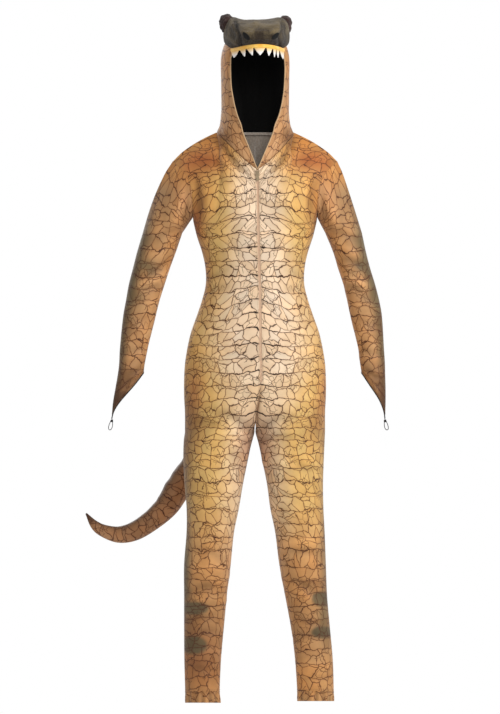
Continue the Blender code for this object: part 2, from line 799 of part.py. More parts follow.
def snout_mesh(name, material, grow=0.0):
    def fill(work):
        slices = list(SNOUT_SLICES)
        rings = []
        for n, y in enumerate(slices):
            reach = grow if n else 0.0
            end = -grow if n == len(slices) - 1 else (grow if n == 0 else 0.0)
            ring = []
            for i in range(SNOUT_SEGMENTS):
                place = snout_point(360 * i / SNOUT_SEGMENTS, y, reach)
                ring.append(work.verts.new((place + Vector((0, end, 0))) * MM))
            rings.append(ring)
        for low, high in zip(rings, rings[1:]):
            for i in range(SNOUT_SEGMENTS):
                k = (i + 1) % SNOUT_SEGMENTS
                work.faces.new((low[i], low[k], high[k], high[i]))
        work.faces.new(rings[0])
        work.faces.new(rings[-1])

    return shell_object(name, fill, material)


def hide_cutter(cutter):
    parts.objects.unlink(cutter)
    cutters.objects.link(cutter)
    cutter.hide_render = True
    cutter.display_type = "WIRE"


def cut(target, cutter):
    step = target.modifiers.new("Cut", "BOOLEAN")
    step.operation = "DIFFERENCE"
    step.object = cutter


def dome_cutter(material):
    """The space that the hood fills, a seam's gap larger, for cutting the crown's seat."""
    first_row = 8

    def fill(work):
        rings = []
        sides = {side: hood_grid(side) for side in (-1, 1)}
        for row in range(first_row, HOOD_ROW_COUNT + 1):
            ring = []
            for side in (1, -1):
                points, normals = sides[side]
                aside = Vector((side * SEAM_GAP, 0, 0))
                line = [p + n * DOME_CLEARANCE + aside for p, n in zip(points[row], normals[row])]
                if HOOD_ROWS.at("front", row) <= FACE_TOP:
                    line[0] += Vector((0, -BROW_EDGE_CLEARANCE, -BROW_EDGE_CLEARANCE))
                ring += line if side == 1 else line[-2::-1]
            rings.append([work.verts.new(p * MM) for p in ring])
        for low, high in zip(rings, rings[1:]):
            for i in range(len(low)):
                k = (i + 1) % len(low)
                if i < HOOD_COLUMNS:
                    two_triangles(work, low[i], low[k], high[k], high[i])
                else:
                    two_triangles(work, low[k], high[k], high[i], low[i])
        work.faces.new(rings[0])
        work.faces.new(rings[-1])

    return shell_object("cutter_dome", fill, material)


def make_snout(materials):
    """The stuffed plush crown on the hood, its brow bumps and nostrils."""
    crown = snout_mesh("snout", materials["plush_brown"])
    dome = dome_cutter(materials["plush_brown"])
    hide_cutter(dome)
    cut(crown, dome)
    grown = snout_mesh("cutter_snout", materials["plush_brown"], SEAM_GAP * 1.3)
    hide_cutter(grown)
    for side, label in ((-1, "right"), (1, "left")):
        size = BROW[side]

        def fill(work):
            bmesh.ops.create_uvsphere(work, u_segments=16, v_segments=10, radius=1.0)
            for vert in work.verts:
                vert.co = Vector(c + r * v for c, r, v in zip(size["centre"], size["radii"], vert.co)) * MM

        bump = shell_object(f"brow_bump_{label}", fill, materials["brow_brown"])
        cut(bump, grown)
        make_nostril(side, label, materials)


def make_nostril(side, label, materials):
    """A dark oval of plush on the front of the snout."""
    rings, around = (0.02, 0.5, 1.0), 14

    def place(u, ring):
        turn = 2 * math.pi * u
        angle = NOSTRIL["angle"] + NOSTRIL["half_angle"] * ring * math.sin(turn)
        y = NOSTRIL["y"] + NOSTRIL["half_y"] * ring * math.cos(turn)
        return snout_point(angle if side == 1 else 180 - angle, y)

    def normal(u, ring):
        turn = 2 * math.pi * u
        angle = NOSTRIL["angle"] + NOSTRIL["half_angle"] * ring * math.sin(turn)
        y = NOSTRIL["y"] + NOSTRIL["half_y"] * ring * math.cos(turn)
        angle = angle if side == 1 else 180 - angle
        along = snout_point(angle, y - 0.5) - snout_point(angle, y + 0.5)
        round_it = snout_point(angle + 1, y) - snout_point(angle - 1, y)
        return along.cross(round_it).normalized() * -1

    us = [n / around for n in range(around)]

    def fill(work):
        faces = {}
        for key, lift in (("outer", SEAM_GAP + NOSTRIL["thick"]), ("inner", SEAM_GAP)):
            faces[key] = [[work.verts.new((place(u, r) + normal(u, r) * lift) * MM) for u in us]
                          for r in rings]
        for key in faces:
            for low, high in zip(faces[key], faces[key][1:]):
                for i in range(around):
                    k = (i + 1) % around
                    work.faces.new((low[i], low[k], high[k], high[i]))
            work.faces.new(faces[key][0])
        for i in range(around):
            k = (i + 1) % around
            work.faces.new((faces["outer"][-1][i], faces["outer"][-1][k], faces["inner"][-1][k],
                            faces["inner"][-1][i]))

    shell_object(f"nostril_{label}", fill, materials["brow_brown"])


def rim_point(across, below):
    """A point of the mouth's rim, so far below the snout's underside."""
    y = RIM.at("y", across)
    return Vector((across - SNOUT_TURN * y, y, snout_under(across, y) - SEAM_GAP - below))


def rim_normal(across):
    along = rim_point(across + 0.5, 0) - rim_point(across - 0.5, 0)
    return Vector((along.y, -along.x, 0)).normalized()


def make_mouth(materials):
    """The felt gum strip round the upper jaw and the eight felt teeth below it."""
    steps = [-66, -59, -52, -44, -36, -27, -18, -9, 0, 9, 18, 27, 36, 44, 52, 59, 66]
    points = [[rim_point(a, depth) for a in steps] for depth in (GUM_HEIGHT, GUM_DROP)]
    normals = [[rim_normal(a) for a in steps] for _ in range(2)]
    wall("gum_strip", points, normals, FELT_WALL, materials["gum_yellow"])
    for number, tooth in enumerate(TEETH, start=1):
        make_tooth(number, tooth, materials)


def make_tooth(number, tooth, materials):
    inset = SEAM_GAP
    low_edge = GUM_HEIGHT + SEAM_GAP
    rows, normals = [], []
    for share in (0.0, 0.5, 1.0):
        start = mix(tooth["start"] + inset, tooth["tip"] - 0.5, share)
        end = mix(tooth["end"] - inset, tooth["tip"] + 0.5, share)
        columns = (start, (start + end) / 2, end)
        level = snout_under(tooth["tip"], RIM.at("y", tooth["tip"]))
        row = []
        for across in columns:
            top = rim_point(across, low_edge)
            bottom_z = level - low_edge - tooth["length"] * share
            row.append(Vector((top.x, top.y, mix(top.z, bottom_z, min(share * 2, 1)))))
        rows.append(row)
        normals.append([rim_normal(across) for across in columns])
    wall(f"tooth_{number}", rows, normals, FELT_WALL, materials["tooth_white"])


def tail_ring(step):
    """Middle, radius and axes of the tail at a step."""
    def centre(s):
        return Vector((TAIL.at("x", s), TAIL.at("y", s), TAIL.at("z", s)))

    along = (centre(step + 0.05) - centre(step - 0.05)).normalized()
    sideways = Vector((along.y, -along.x, 0)).normalized()
    return centre(step), TAIL.at("radius", step), sideways, sideways.cross(along)


def seat_point(x, z):
    """The point of the seat's outer face straight behind x."""
    middle, half, _, back = body_section(1, z)
    share = clamp((abs(x) - middle) / half, -1, 1)
    return Vector((x, back * math.sqrt(1 - share * share), z))


def make_tail(materials):
    """The stuffed tail in two halves, seamed along its top and its underside."""
    for side, label in ((-1, "right"), (1, "left")):

        def fill(work):
            rings = []
            for step in range(TAIL_STEPS + 1):
                centre, radius, sideways, up = tail_ring(step)
                centre = centre + sideways * side * SEAM_GAP / 2
                ring = []
                for i in range(TAIL_SEGMENTS + 1):
                    turn = math.pi * i / TAIL_SEGMENTS - math.pi / 2
                    place = centre + sideways * side * radius * math.cos(turn) + up * radius * math.sin(turn)
                    if step == 0:
                        place = seat_point(place.x, place.z) + Vector((0, TAIL_ROOT_GAP, 0))
                    ring.append(place)
                middle = (ring[0] + ring[-1]) / 2
                if step == 0:
                    middle = seat_point(middle.x, middle.z) + Vector((0, TAIL_ROOT_HOLLOW, 0))
                ring.append(middle)
                rings.append([work.verts.new(p * MM) for p in ring])
            count = len(rings[0])
            for low, high in zip(rings, rings[1:]):
                for i in range(count):
                    k = (i + 1) % count
                    work.faces.new((low[i], low[k], high[k], high[i]))
            for ring in (rings[0], rings[-1]):
                for i in range(count - 2):
                    work.faces.new((ring[-1], ring[i], ring[i + 1]))

        shell_object(f"tail_{label}", fill, materials["scale_print"])


def box_object(name, low, high, material):
    def fill(work):
        bmesh.ops.create_cube(work, size=1.0)
        for vert in work.verts:
            vert.co = Vector(mix(a, b, v + 0.5) * MM for a, b, v in zip(low, high, vert.co))

    return shell_object(name, fill, material)


def make_slider(materials):
    """The zip slider, its bridge, and the pull tab that swings on it about X."""
    width, height, thick = SLIDER["width"], SLIDER["height"], SLIDER["thick"]
    neck = panel_point(1, "front", 0, NECK_FRONT)
    top = neck.z - SLIDER["below_neck"]
    lowest = panel_point(1, "front", 0, top - height)
    back = min(neck.y, lowest.y) - SEAM_GAP
    front = back - thick
    x = (neck.x + lowest.x) / 2
    body = box_object("zip_slider", (x - width / 2, front, top - height), (x + width / 2, back, top),
                      materials["zip_metal"])
    half = SLIDER["bridge"] / 2
    reach = front - SLIDER["room"] - SLIDER["bar"]
    end = top - SLIDER["post"]
    foot = end - SLIDER["bridge_length"]
    past = SLIDER["overlap"]
    bridge = box_object("cutter_bridge", (x - half, reach, foot), (x + half, front + past, end),
                        materials["zip_metal"])
    hollow = box_object("cutter_hollow",
                        (x - half - past, front - SLIDER["room"], foot + SLIDER["post"]),
                        (x + half + past, front, end - SLIDER["post"]), materials["zip_metal"])
    hide_cutter(bridge)
    hide_cutter(hollow)
    cut(bridge, hollow)
    join = body.modifiers.new("Join", "BOOLEAN")
    join.operation = "UNION"
    join.object = bridge
    axis = Vector((x, front - SLIDER["room"] / 2, end - SLIDER["post"] - SLIDER["room"] / 2))
    make_pull(axis, materials)


def make_pull(axis, materials):
    """A flat tab with a square eye round the slider's bridge, its origin on the hinge line."""
    curve = bpy.data.curves.new("zip_pull", "CURVE")
    curve.dimensions = "2D"
    curve.fill_mode = "BOTH"
    curve.extrude = PULL["thick"] / 2 * MM
    half, long, bar = PULL["width"] / 2, PULL["length"], PULL["bar"] / 2
    straight, toe, toe_half = PULL["taper"] - long, PULL["toe"] - long, half - PULL["toe_inset"]
    outline = [(-half, bar), (half, bar), (half, straight), (toe_half, toe), (0, -long),
               (-toe_half, toe), (-half, straight)]
    eye = PULL["eye_width"] / 2
    hole = [(-eye, -bar), (-eye, -PULL["eye_height"]), (eye, -PULL["eye_height"]), (eye, -bar)]
    for loop in (outline, hole):
        spline = curve.splines.new("POLY")
        spline.points.add(len(loop) - 1)
        spline.use_cyclic_u = True
        for knot, (x, z) in zip(spline.points, loop):
            knot.co = (x * MM, z * MM, 0.0, 1.0)
    curve.materials.append(materials["zip_metal"])
    tab = bpy.data.objects.new("zip_pull", curve)
    tab.location = axis * MM
    tab.rotation_euler = (math.radians(90), 0, 0)
    parts.objects.link(tab)


def make_materials():
    made = {}
    for name, (colour, roughness, metallic) in FINISHES.items():
        material = bpy.data.materials.new(name)
        material.use_nodes = True
        shader = material.node_tree.nodes["Principled BSDF"]
        shader.inputs["Base Color"].default_value = (*colour, 1.0)
        shader.inputs["Roughness"].default_value = roughness
        shader.inputs["Metallic"].default_value = metallic
        made[name] = material
    return made


for old in list(bpy.data.objects):
    bpy.data.objects.remove(old, do_unlink=True)
parts = bpy.data.collections.new("dinosaur_costume")
cutters = bpy.data.collections.new("cutters")
bpy.context.scene.collection.children.link(parts)
bpy.context.scene.collection.children.link(cutters)
finish = make_materials()
make_panels(finish)
make_zip_tapes(finish)
make_hems(finish)
make_sleeves(finish)
make_hood(finish)
make_snout(finish)
make_mouth(finish)
make_tail(finish)
make_slider(finish)
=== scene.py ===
# %% [markdown]
# # A hooded dinosaur costume
# This notebook dresses the measured solids of a hooded jumpsuit in cloth, plush and felt. The solids
# are loaded as a fixed frame, and each cloth piece is made again over its solid as a finer and creased
# shell, from the same tables of sizes. All sizes in the tables are millimetres, with the origin between
# the shoulders, +Z up, and the front of the garment facing -Y.

# %% Load the frame
import math

import bmesh
import bpy
import numpy as np
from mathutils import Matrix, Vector


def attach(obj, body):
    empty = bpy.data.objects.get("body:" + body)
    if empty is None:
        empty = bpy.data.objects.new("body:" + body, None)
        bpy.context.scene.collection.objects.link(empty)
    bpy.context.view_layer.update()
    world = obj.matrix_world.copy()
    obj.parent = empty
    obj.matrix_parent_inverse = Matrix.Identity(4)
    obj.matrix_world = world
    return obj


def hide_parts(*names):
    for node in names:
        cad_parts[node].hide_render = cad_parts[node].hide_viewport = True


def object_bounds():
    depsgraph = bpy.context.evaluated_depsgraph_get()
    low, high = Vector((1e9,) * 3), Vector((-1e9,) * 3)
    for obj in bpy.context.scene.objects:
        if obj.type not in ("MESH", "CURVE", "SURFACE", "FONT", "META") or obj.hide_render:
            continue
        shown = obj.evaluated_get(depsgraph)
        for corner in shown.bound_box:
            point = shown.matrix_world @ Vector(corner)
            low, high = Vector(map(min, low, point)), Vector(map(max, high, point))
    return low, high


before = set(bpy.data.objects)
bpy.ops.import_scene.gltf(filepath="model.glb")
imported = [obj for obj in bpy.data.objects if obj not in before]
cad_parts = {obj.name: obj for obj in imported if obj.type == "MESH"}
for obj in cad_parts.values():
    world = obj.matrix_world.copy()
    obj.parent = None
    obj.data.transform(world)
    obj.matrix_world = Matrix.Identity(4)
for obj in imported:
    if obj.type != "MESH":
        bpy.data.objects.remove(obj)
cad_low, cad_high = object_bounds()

MM = 0.001
SIDES = ((-1, "right"), (1, "left"))


def placed(name, data):
    """A new object in the scene."""
    made = bpy.data.objects.new(name, data)
    bpy.context.scene.collection.objects.link(made)
    return made


print("nodes in the frame:", len(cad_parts))

# %% [markdown]
# ## Camera and stage
# The photograph is a flat product view from far away, so a parallel camera matches it: every pixel is
# the same size at any depth. The floor is a plain pale disc below the ankles. The world looks white to
# the camera and gives the cloth a dimmer, even light. Three area lights, with the strongest on the
# right, then give the folds their shading.

# %% Camera, floor and lights
PIXEL = 2.45 * MM
PHOTO_WIDTH, PHOTO_HEIGHT = 500, 714
MIDDLE_PIXEL, SHOULDER_PIXEL = 255, 135
CAMERA_DISTANCE = 5.0
FLOOR_DROP, FLOOR_RADIUS = 0.004, 2.5
WORLD_LIGHT = 0.60
LIGHTS = (
    {"name": "key", "place": (2.5, -2.4, 2.1), "size": 1.4, "watts": 113},
    {"name": "front", "place": (0.5, -4.0, 1.8), "size": 1.2, "watts": 34},
    {"name": "back", "place": (-1.2, 3.0, 1.6), "size": 2.0, "watts": 60},
)

camera = placed("camera", bpy.data.cameras.new("camera"))
camera.data.type = "ORTHO"
camera.data.ortho_scale = PHOTO_HEIGHT * PIXEL
camera.location = (
    (PHOTO_WIDTH / 2 - MIDDLE_PIXEL) * PIXEL,
    -CAMERA_DISTANCE,
    (SHOULDER_PIXEL - PHOTO_HEIGHT / 2) * PIXEL,
)
camera.rotation_euler = (math.radians(90), 0, 0)
bpy.context.scene.camera = camera
bpy.context.scene.view_settings.view_transform = "Standard"

target = Vector((0, 0, (cad_low.z + cad_high.z) / 2))
for setting in LIGHTS:
    lamp = bpy.data.lights.new(setting["name"], "AREA")
    lamp.size = setting["size"]
    lamp.energy = setting["watts"]
    light = placed(setting["name"], lamp)
    light.location = Vector(setting["place"]) + target
    light.rotation_euler = (target - light.location).to_track_quat("-Z", "Y").to_euler()

world = bpy.data.worlds.new("studio")
bpy.context.scene.world = world
world.use_nodes = True
backdrop = world.node_tree.nodes["Background"]
backdrop.inputs["Color"].default_value = (1, 1, 1, 1)
glow = world.node_tree.nodes.new("ShaderNodeBackground")
glow.inputs["Color"].default_value = (1, 1, 1, 1)
glow.inputs["Strength"].default_value = WORLD_LIGHT
seen = world.node_tree.nodes.new("ShaderNodeLightPath")
either = world.node_tree.nodes.new("ShaderNodeMixShader")
world.node_tree.links.new(seen.outputs["Is Camera Ray"], either.inputs[0])
world.node_tree.links.new(glow.outputs[0], either.inputs[1])
world.node_tree.links.new(backdrop.outputs[0], either.inputs[2])
world.node_tree.links.new(either.outputs[0], world.node_tree.nodes["World Output"].inputs["Surface"])

bpy.ops.mesh.primitive_circle_add(vertices=96, radius=FLOOR_RADIUS, fill_type="NGON",
                                  location=(0, 0, cad_low.z - FLOOR_DROP))
floor = bpy.context.object
floor.name = "floor"
floor_finish = bpy.data.materials.new("pale_floor")
floor_finish.use_nodes = True
floor_finish.node_tree.nodes["Principled BSDF"].inputs["Base Color"].default_value = (0.86, 0.86, 0.85, 1)
floor_finish.node_tree.nodes["Principled BSDF"].inputs["Roughness"].default_value = 0.7
floor.data.materials.append(floor_finish)
print("camera frame is", round(PHOTO_HEIGHT * PIXEL, 3), "m high")

# %% [markdown]
# ## A small kit for materials
# Each finish is a tree of shader nodes. A few short helpers add a node, set its values and link what
# feeds it, so a material reads as a recipe. Colours are noted as they look on the finished piece, from
# 0 to 255, and turned into the light that the cloth gives back under this stage's lighting.

# %% Material helpers
STAGE_LIGHT = 1.5


def tint(red, green, blue, light=STAGE_LIGHT):
    """A colour as seen, made the colour of the surface under the stage's light."""
    return tuple(((c / 255) ** 2.2) / light for c in (red, green, blue))


def put(tree, socket, value):
    """Link a socket to what feeds it, or set its value."""
    if isinstance(value, bpy.types.NodeSocket):
        tree.links.new(value, socket)
    elif value is not None:
        socket.default_value = value


def add_node(tree, kind, inputs=(), **settings):
    """A new node with its settings, its inputs set or linked."""
    made = tree.nodes.new(kind)
    for name, value in settings.items():
        setattr(made, name, value)
    for key, value in dict(inputs).items():
        put(tree, made.inputs[key], value)
    return made


class Recipe:
    """A material's node tree with short calls to add nodes."""

    def __init__(self, name, roughness, sheen=0.0, sheen_roughness=0.5, metallic=0.0):
        self.material = bpy.data.materials.new(name)
        self.material.use_nodes = True
        self.tree = self.material.node_tree
        self.shader = self.tree.nodes["Principled BSDF"]
        self.shader.inputs["Roughness"].default_value = roughness
        self.shader.inputs["Sheen Weight"].default_value = sheen
        self.shader.inputs["Sheen Roughness"].default_value = sheen_roughness
        self.shader.inputs["Metallic"].default_value = metallic
        self.shader.inputs["Specular IOR Level"].default_value = 0.25

    def put(self, socket, value):
        put(self.tree, socket, value)

    def node(self, kind, inputs=(), **settings):
        return add_node(self.tree, kind, inputs, **settings)

    def math(self, operation, a, b=None):
        made = self.node("ShaderNodeMath", {0: a}, operation=operation)
        self.put(made.inputs[1], b)
        return made.outputs[0]

    def vector_math(self, operation, a, b):
        return self.node("ShaderNodeVectorMath", {0: a, 1: b}, operation=operation).outputs[0]

    def noise(self, place, scale, detail=2.0, roughness=0.5, dimensions="3D"):
        return self.node("ShaderNodeTexNoise", {"Vector": place, "Scale": scale, "Detail": detail,
                                                "Roughness": roughness}, noise_dimensions=dimensions)

    def ramp(self, value, low, high, start=0.0, end=1.0):
        made = self.node("ShaderNodeMapRange", {"Value": value, "From Min": low, "From Max": high,
                                                "To Min": start, "To Max": end})
        return made.outputs[0]

    def blend(self, share, a, b, kind="MIX"):
        made = self.tree.nodes.new("ShaderNodeMix")
        made.data_type = "RGBA"
        made.blend_type = kind
        for key, value in ((0, share), (6, a), (7, b)):
            if isinstance(value, tuple) and len(value) == 3:
                value = (*value, 1.0)
            self.put(made.inputs[key], value)
        return made.outputs[2]

    def grey(self, value):
        return self.node("ShaderNodeCombineColor", {0: value, 1: value, 2: value}).outputs[0]

    def bump(self, height, strength, distance=0.0005):
        made = self.node("ShaderNodeBump", {"Height": height, "Strength": strength,
                                            "Distance": distance})
        self.put(self.shader.inputs["Normal"], made.outputs[0])

    def colour(self, value):
        if isinstance(value, tuple):
            value = (*value, 1.0)
        self.put(self.shader.inputs["Base Color"], value)
        return self.material

    def place(self):
        return self.node("ShaderNodeTexCoord").outputs["Object"]


print("helpers ready; a white of 250 becomes", round(tint(250, 250, 250)[0], 2))

# %% [markdown]
# ## The crackle print
# The cloth is a smooth stretch velour printed like cracked hide: long wavy lines cross it about every
# 34 mm, and thinner lines join them into uneven scales, some of them split again. The print follows the
# cloth, so it reads a UV map that holds the way across and the way along in metres. Three soft noises
# bend that map, and then a crack is where a row line or the edge of a Voronoi cell is near. Each row has
# its cells moved by a step of its own, so that no cell runs on past a row line. The ground under the
# cracks is a colour stored on each point, because the belly, flanks, shoulders and sleeves differ; it
# also carries painted shade in the creases and at some folds.

# %% Crackle print material
ROW_PITCH = 0.034
SCALE_ACROSS, SCALE_ALONG = 0.024, 0.027
SPLIT_ACROSS, SPLIT_ALONG = 0.014, 0.015
ROW_SHIFT = (0.137, 0.071, 0.0)
# Bends of the map: waves a metre, and their reach across and along
BENDS = ((11.0, 0.034, 0.032), (48.0, 0.010, 0.011), (150.0, 0.0026, 0.0026))
# Widths of the lines, as shares of a row or a cell
ROW_WIDTH, HEAVY_ROW_WIDTH = 0.022, 0.038
CELL_WIDTH, SPLIT_WIDTH = (0.026, 0.040), (0.026, 0.050)
SPLIT_FROM = (0.56, 0.58)
TONE = (0.94, 1.14)
CRACK_INK = tint(88, 50, 26)
HEAVY_INK = tint(42, 26, 18)


def bent(recipe, place, scale, across, along):
    """A place on the print, moved by soft noise of so many waves a metre and of that reach."""
    push = recipe.noise(place, scale, 1.5, dimensions="2D").outputs["Color"]
    push = recipe.vector_math("SUBTRACT", push, (0.5, 0.5, 0.5))
    return recipe.vector_math("MULTIPLY", push, (across, along, 0.0))


def cells_of(recipe, place, across, along, feature, result):
    """Voronoi cells of that size: the distance to their edge, or a colour of each."""
    cells = recipe.vector_math("MULTIPLY", place, (1 / across, 1 / along, 0.0))
    return recipe.node("ShaderNodeTexVoronoi", {"Vector": cells, "Scale": 1.0, "Randomness": 1.0},
                       voronoi_dimensions="2D", feature=feature).outputs[result]


def crackle(name, wrong_side=False):
    """The printed cloth, or its pale wrong side with the print shining through."""
    recipe = Recipe(name, roughness=0.62, sheen=0.10, sheen_roughness=0.45)
    uv = recipe.node("ShaderNodeUVMap", uv_map="Print").outputs[0]
    ground = recipe.node("ShaderNodeAttribute", attribute_name="Ground", attribute_type="GEOMETRY")
    place = uv
    for scale, across, along in BENDS:
        place = recipe.vector_math("ADD", place, bent(recipe, uv, scale, across, along))
    along = recipe.node("ShaderNodeSeparateXYZ", {0: place}).outputs["Y"]
    rows = recipe.math("DIVIDE", along, ROW_PITCH)
    row = recipe.math("FRACT", rows)
    row = recipe.math("SUBTRACT", 0.5, recipe.math("ABSOLUTE", recipe.math("SUBTRACT", row, 0.5)))
    number = recipe.math("FLOOR", rows)
    own = recipe.node("ShaderNodeCombineXYZ", {0: number, 1: number}).outputs[0]
    place = recipe.vector_math("ADD", place, recipe.vector_math("MULTIPLY", own, ROW_SHIFT))
    edge = cells_of(recipe, place, SCALE_ACROSS, SCALE_ALONG, "DISTANCE_TO_EDGE", "Distance")
    cell = cells_of(recipe, place, SCALE_ACROSS, SCALE_ALONG, "F1", "Color")
    split_edge = cells_of(recipe, place, SPLIT_ACROSS, SPLIT_ALONG, "DISTANCE_TO_EDGE", "Distance")
    uneven = recipe.noise(uv, 40.0, 1.0, dimensions="2D").outputs["Fac"]
    heavy = ground.outputs["Alpha"]
    row_width = recipe.ramp(heavy, 0.0, 1.0, ROW_WIDTH, HEAVY_ROW_WIDTH)
    row_width = recipe.math("MULTIPLY", row_width, recipe.ramp(uneven, 0.3, 0.7, 0.8, 1.25))
    cell_width = recipe.ramp(uneven, 0.3, 0.7, *CELL_WIDTH)
    row_line = recipe.ramp(recipe.math("DIVIDE", row, row_width), 0.8, 1.25, 1.0, 0.0)
    cell_line = recipe.ramp(recipe.math("DIVIDE", edge, cell_width), 0.75, 1.25, 0.9, 0.0)
    split_line = recipe.ramp(split_edge, *SPLIT_WIDTH, 0.8, 0.0)
    broken = recipe.ramp(recipe.noise(uv, 24.0, 0.0, dimensions="2D").outputs["Fac"], *SPLIT_FROM)
    line = recipe.math("MAXIMUM", row_line, cell_line)
    line = recipe.math("MAXIMUM", line, recipe.math("MULTIPLY", split_line, broken))
    halo = recipe.ramp(recipe.math("MINIMUM", row, edge), 0.03, 0.18, 0.18, 0.0)
    split = recipe.node("ShaderNodeSeparateColor", {0: cell})
    tone = recipe.ramp(split.outputs[0], 0.0, 1.0, *TONE)
    cloud = recipe.ramp(recipe.noise(uv, 26.0, 3.0, dimensions="2D").outputs["Fac"], 0.25, 0.75, *TONE)
    shade = recipe.grey(recipe.math("MULTIPLY", tone, cloud))
    base = recipe.blend(1.0, ground.outputs["Color"], shade, "MULTIPLY")
    warm = recipe.blend(1.0, base, tint(255, 222, 170, 1.0), "MULTIPLY")
    base = recipe.blend(recipe.math("MULTIPLY", split.outputs[1], 0.35), base, warm)
    brown = recipe.blend(1.0, base, tint(190, 130, 90, 1.0), "MULTIPLY")
    base = recipe.blend(halo, base, brown)
    ink = recipe.blend(heavy, CRACK_INK, HEAVY_INK)
    printed = recipe.blend(line, base, ink)
    if wrong_side:
        backing = recipe.noise(recipe.place(), 260.0, 3.0).outputs["Fac"]
        backing = recipe.ramp(backing, 0.3, 0.7, 0.0, 1.0)
        grey = recipe.blend(backing, tint(214, 196, 178, 1.0), tint(246, 234, 220, 1.0))
        printed = recipe.blend(0.16, grey, printed)
    knit = recipe.noise(recipe.place(), 1300.0, 2.0).outputs["Fac"]
    slub = recipe.noise(recipe.place(), 300.0, 2.0).outputs["Fac"]
    recipe.bump(recipe.math("ADD", knit, slub), 0.35, 0.0004)
    return recipe.colour(printed)


print_cloth = crackle("crackle_print")
print_wrong_side = crackle("crackle_wrong_side", wrong_side=True)
print("scales are about", SCALE_ACROSS / MM, "by", SCALE_ALONG / MM, "mm")

# %% [markdown]
# ## Tables of sizes
# The garment is drawn from short tables: each row is a level, and each column is a size there in
# millimetres. A reader between the rows follows a smooth curve, so a few rows are enough for a hip, a
# waist or a knee. The same tables shape the solids, so the finer shells lie on them.

# %% Table reader
def clamp(value, low, high):
    return max(low, min(high, value))


def mix(a, b, t):
    return a + (b - a) * t


class Table:
    """Rows of sizes under named columns, read smoothly between the rows."""

    def __init__(self, columns, *rows):
        self.columns = columns
        self.rows = sorted(rows)

    def at(self, name, key):
        column = self.columns.index(name)
        keys = [row[0] for row in self.rows]
        values = [row[column] for row in self.rows]
        if key <= keys[0]:
            return values[0] + (key - keys[0]) * (values[1] - values[0]) / (keys[1] - keys[0])
        if key >= keys[-1]:
            return values[-1] + (key - keys[-1]) * (values[-1] - values[-2]) / (keys[-1] - keys[-2])
        i = max(n for n in range(len(keys) - 1) if keys[n] <= key)
        step = keys[i + 1] - keys[i]
        t = (key - keys[i]) / step

        def slope(n):
            low, high = max(n - 1, 0), min(n + 1, len(keys) - 1)
            return (values[high] - values[low]) / (keys[high] - keys[low])

        start, end = slope(i) * step, slope(i + 1) * step
        rise = values[i + 1] - values[i]
        bend = t * t * (3 * rise - 2 * start - end)
        return values[i] + t * start + bend + t ** 3 * (start + end - 2 * rise)


print("a table is read smoothly between its rows")

# %% [markdown]
# ## Cloth as a thin shell
# A piece of cloth starts as a grid of points on its outer face. The inner face is the same grid moved
# in along the normals, and rims close the wall at its edges. Creases are listed and laid over the grid:
# each is a line in the front view with its own length, width and depth, so it reads as a soft trough or
# ridge. The grid also carries the print's UV map and the ground colour of every point.

# %% Grid, normals and wall helpers
WALL = 1.6


def smooth(low, high, value):
    """0 at low, 1 at high and an eased step between them."""
    t = np.clip((value - low) / (high - low), 0, 1)
    return t * t * (3 - 2 * t)


def spaced(start, end, step):
    """Even values from start to end, about a step apart."""
    count = max(2, int(round(abs(end - start) / step)) + 1)
    return [start + (end - start) * n / (count - 1) for n in range(count)]


def grid_of(point, us, rows):
    """Points of a surface as an array of rows by columns by three."""
    return np.array([[tuple(point(u, row)) for u in us] for row in rows])


def normals_of(grid, outward, ring=False):
    """The direction out of the surface at each point of a grid."""
    across = np.gradient(grid, axis=1)
    if ring:
        across[:, 0] = across[:, -1] = (grid[:, 1] - grid[:, -2]) / 2
    along = np.gradient(grid, axis=0)
    normal = np.cross(across, along) * outward
    length = np.linalg.norm(normal, axis=2, keepdims=True)
    return normal / np.maximum(length, 1e-9)


def run_of(grid, axis):
    """Distance along each row (axis 1) or each column (axis 0) of a grid, in millimetres."""
    step = np.linalg.norm(np.diff(grid, axis=axis), axis=2)
    start = np.zeros((grid.shape[0], 1)) if axis == 1 else np.zeros((1, grid.shape[1]))
    return np.concatenate([start, np.cumsum(step, axis=axis)], axis=axis)


def creases(grid, table):
    """How far each point is lifted (+) or sunk (-) by the creases of a table."""
    lift = np.zeros(grid.shape[:2])
    for x0, z0, x1, z1, width, depth, bow in table:
        start, span = np.array((x0, z0)), np.array((x1 - x0, z1 - z0))
        length = np.linalg.norm(span)
        way, side = span / length, np.array((-span[1], span[0])) / length
        offset = grid[:, :, (0, 2)] - start
        t = (offset @ way) / length
        inside = np.clip(t, 0, 1)
        away = offset @ side - bow * 4 * inside * (1 - inside)
        past = (t - inside) * length
        fade = np.sin(np.pi * np.clip(0.08 + 0.84 * inside, 0, 1)) ** 0.8
        lift += depth * fade * np.exp(-(away ** 2 + past ** 2) / width ** 2)
    return lift


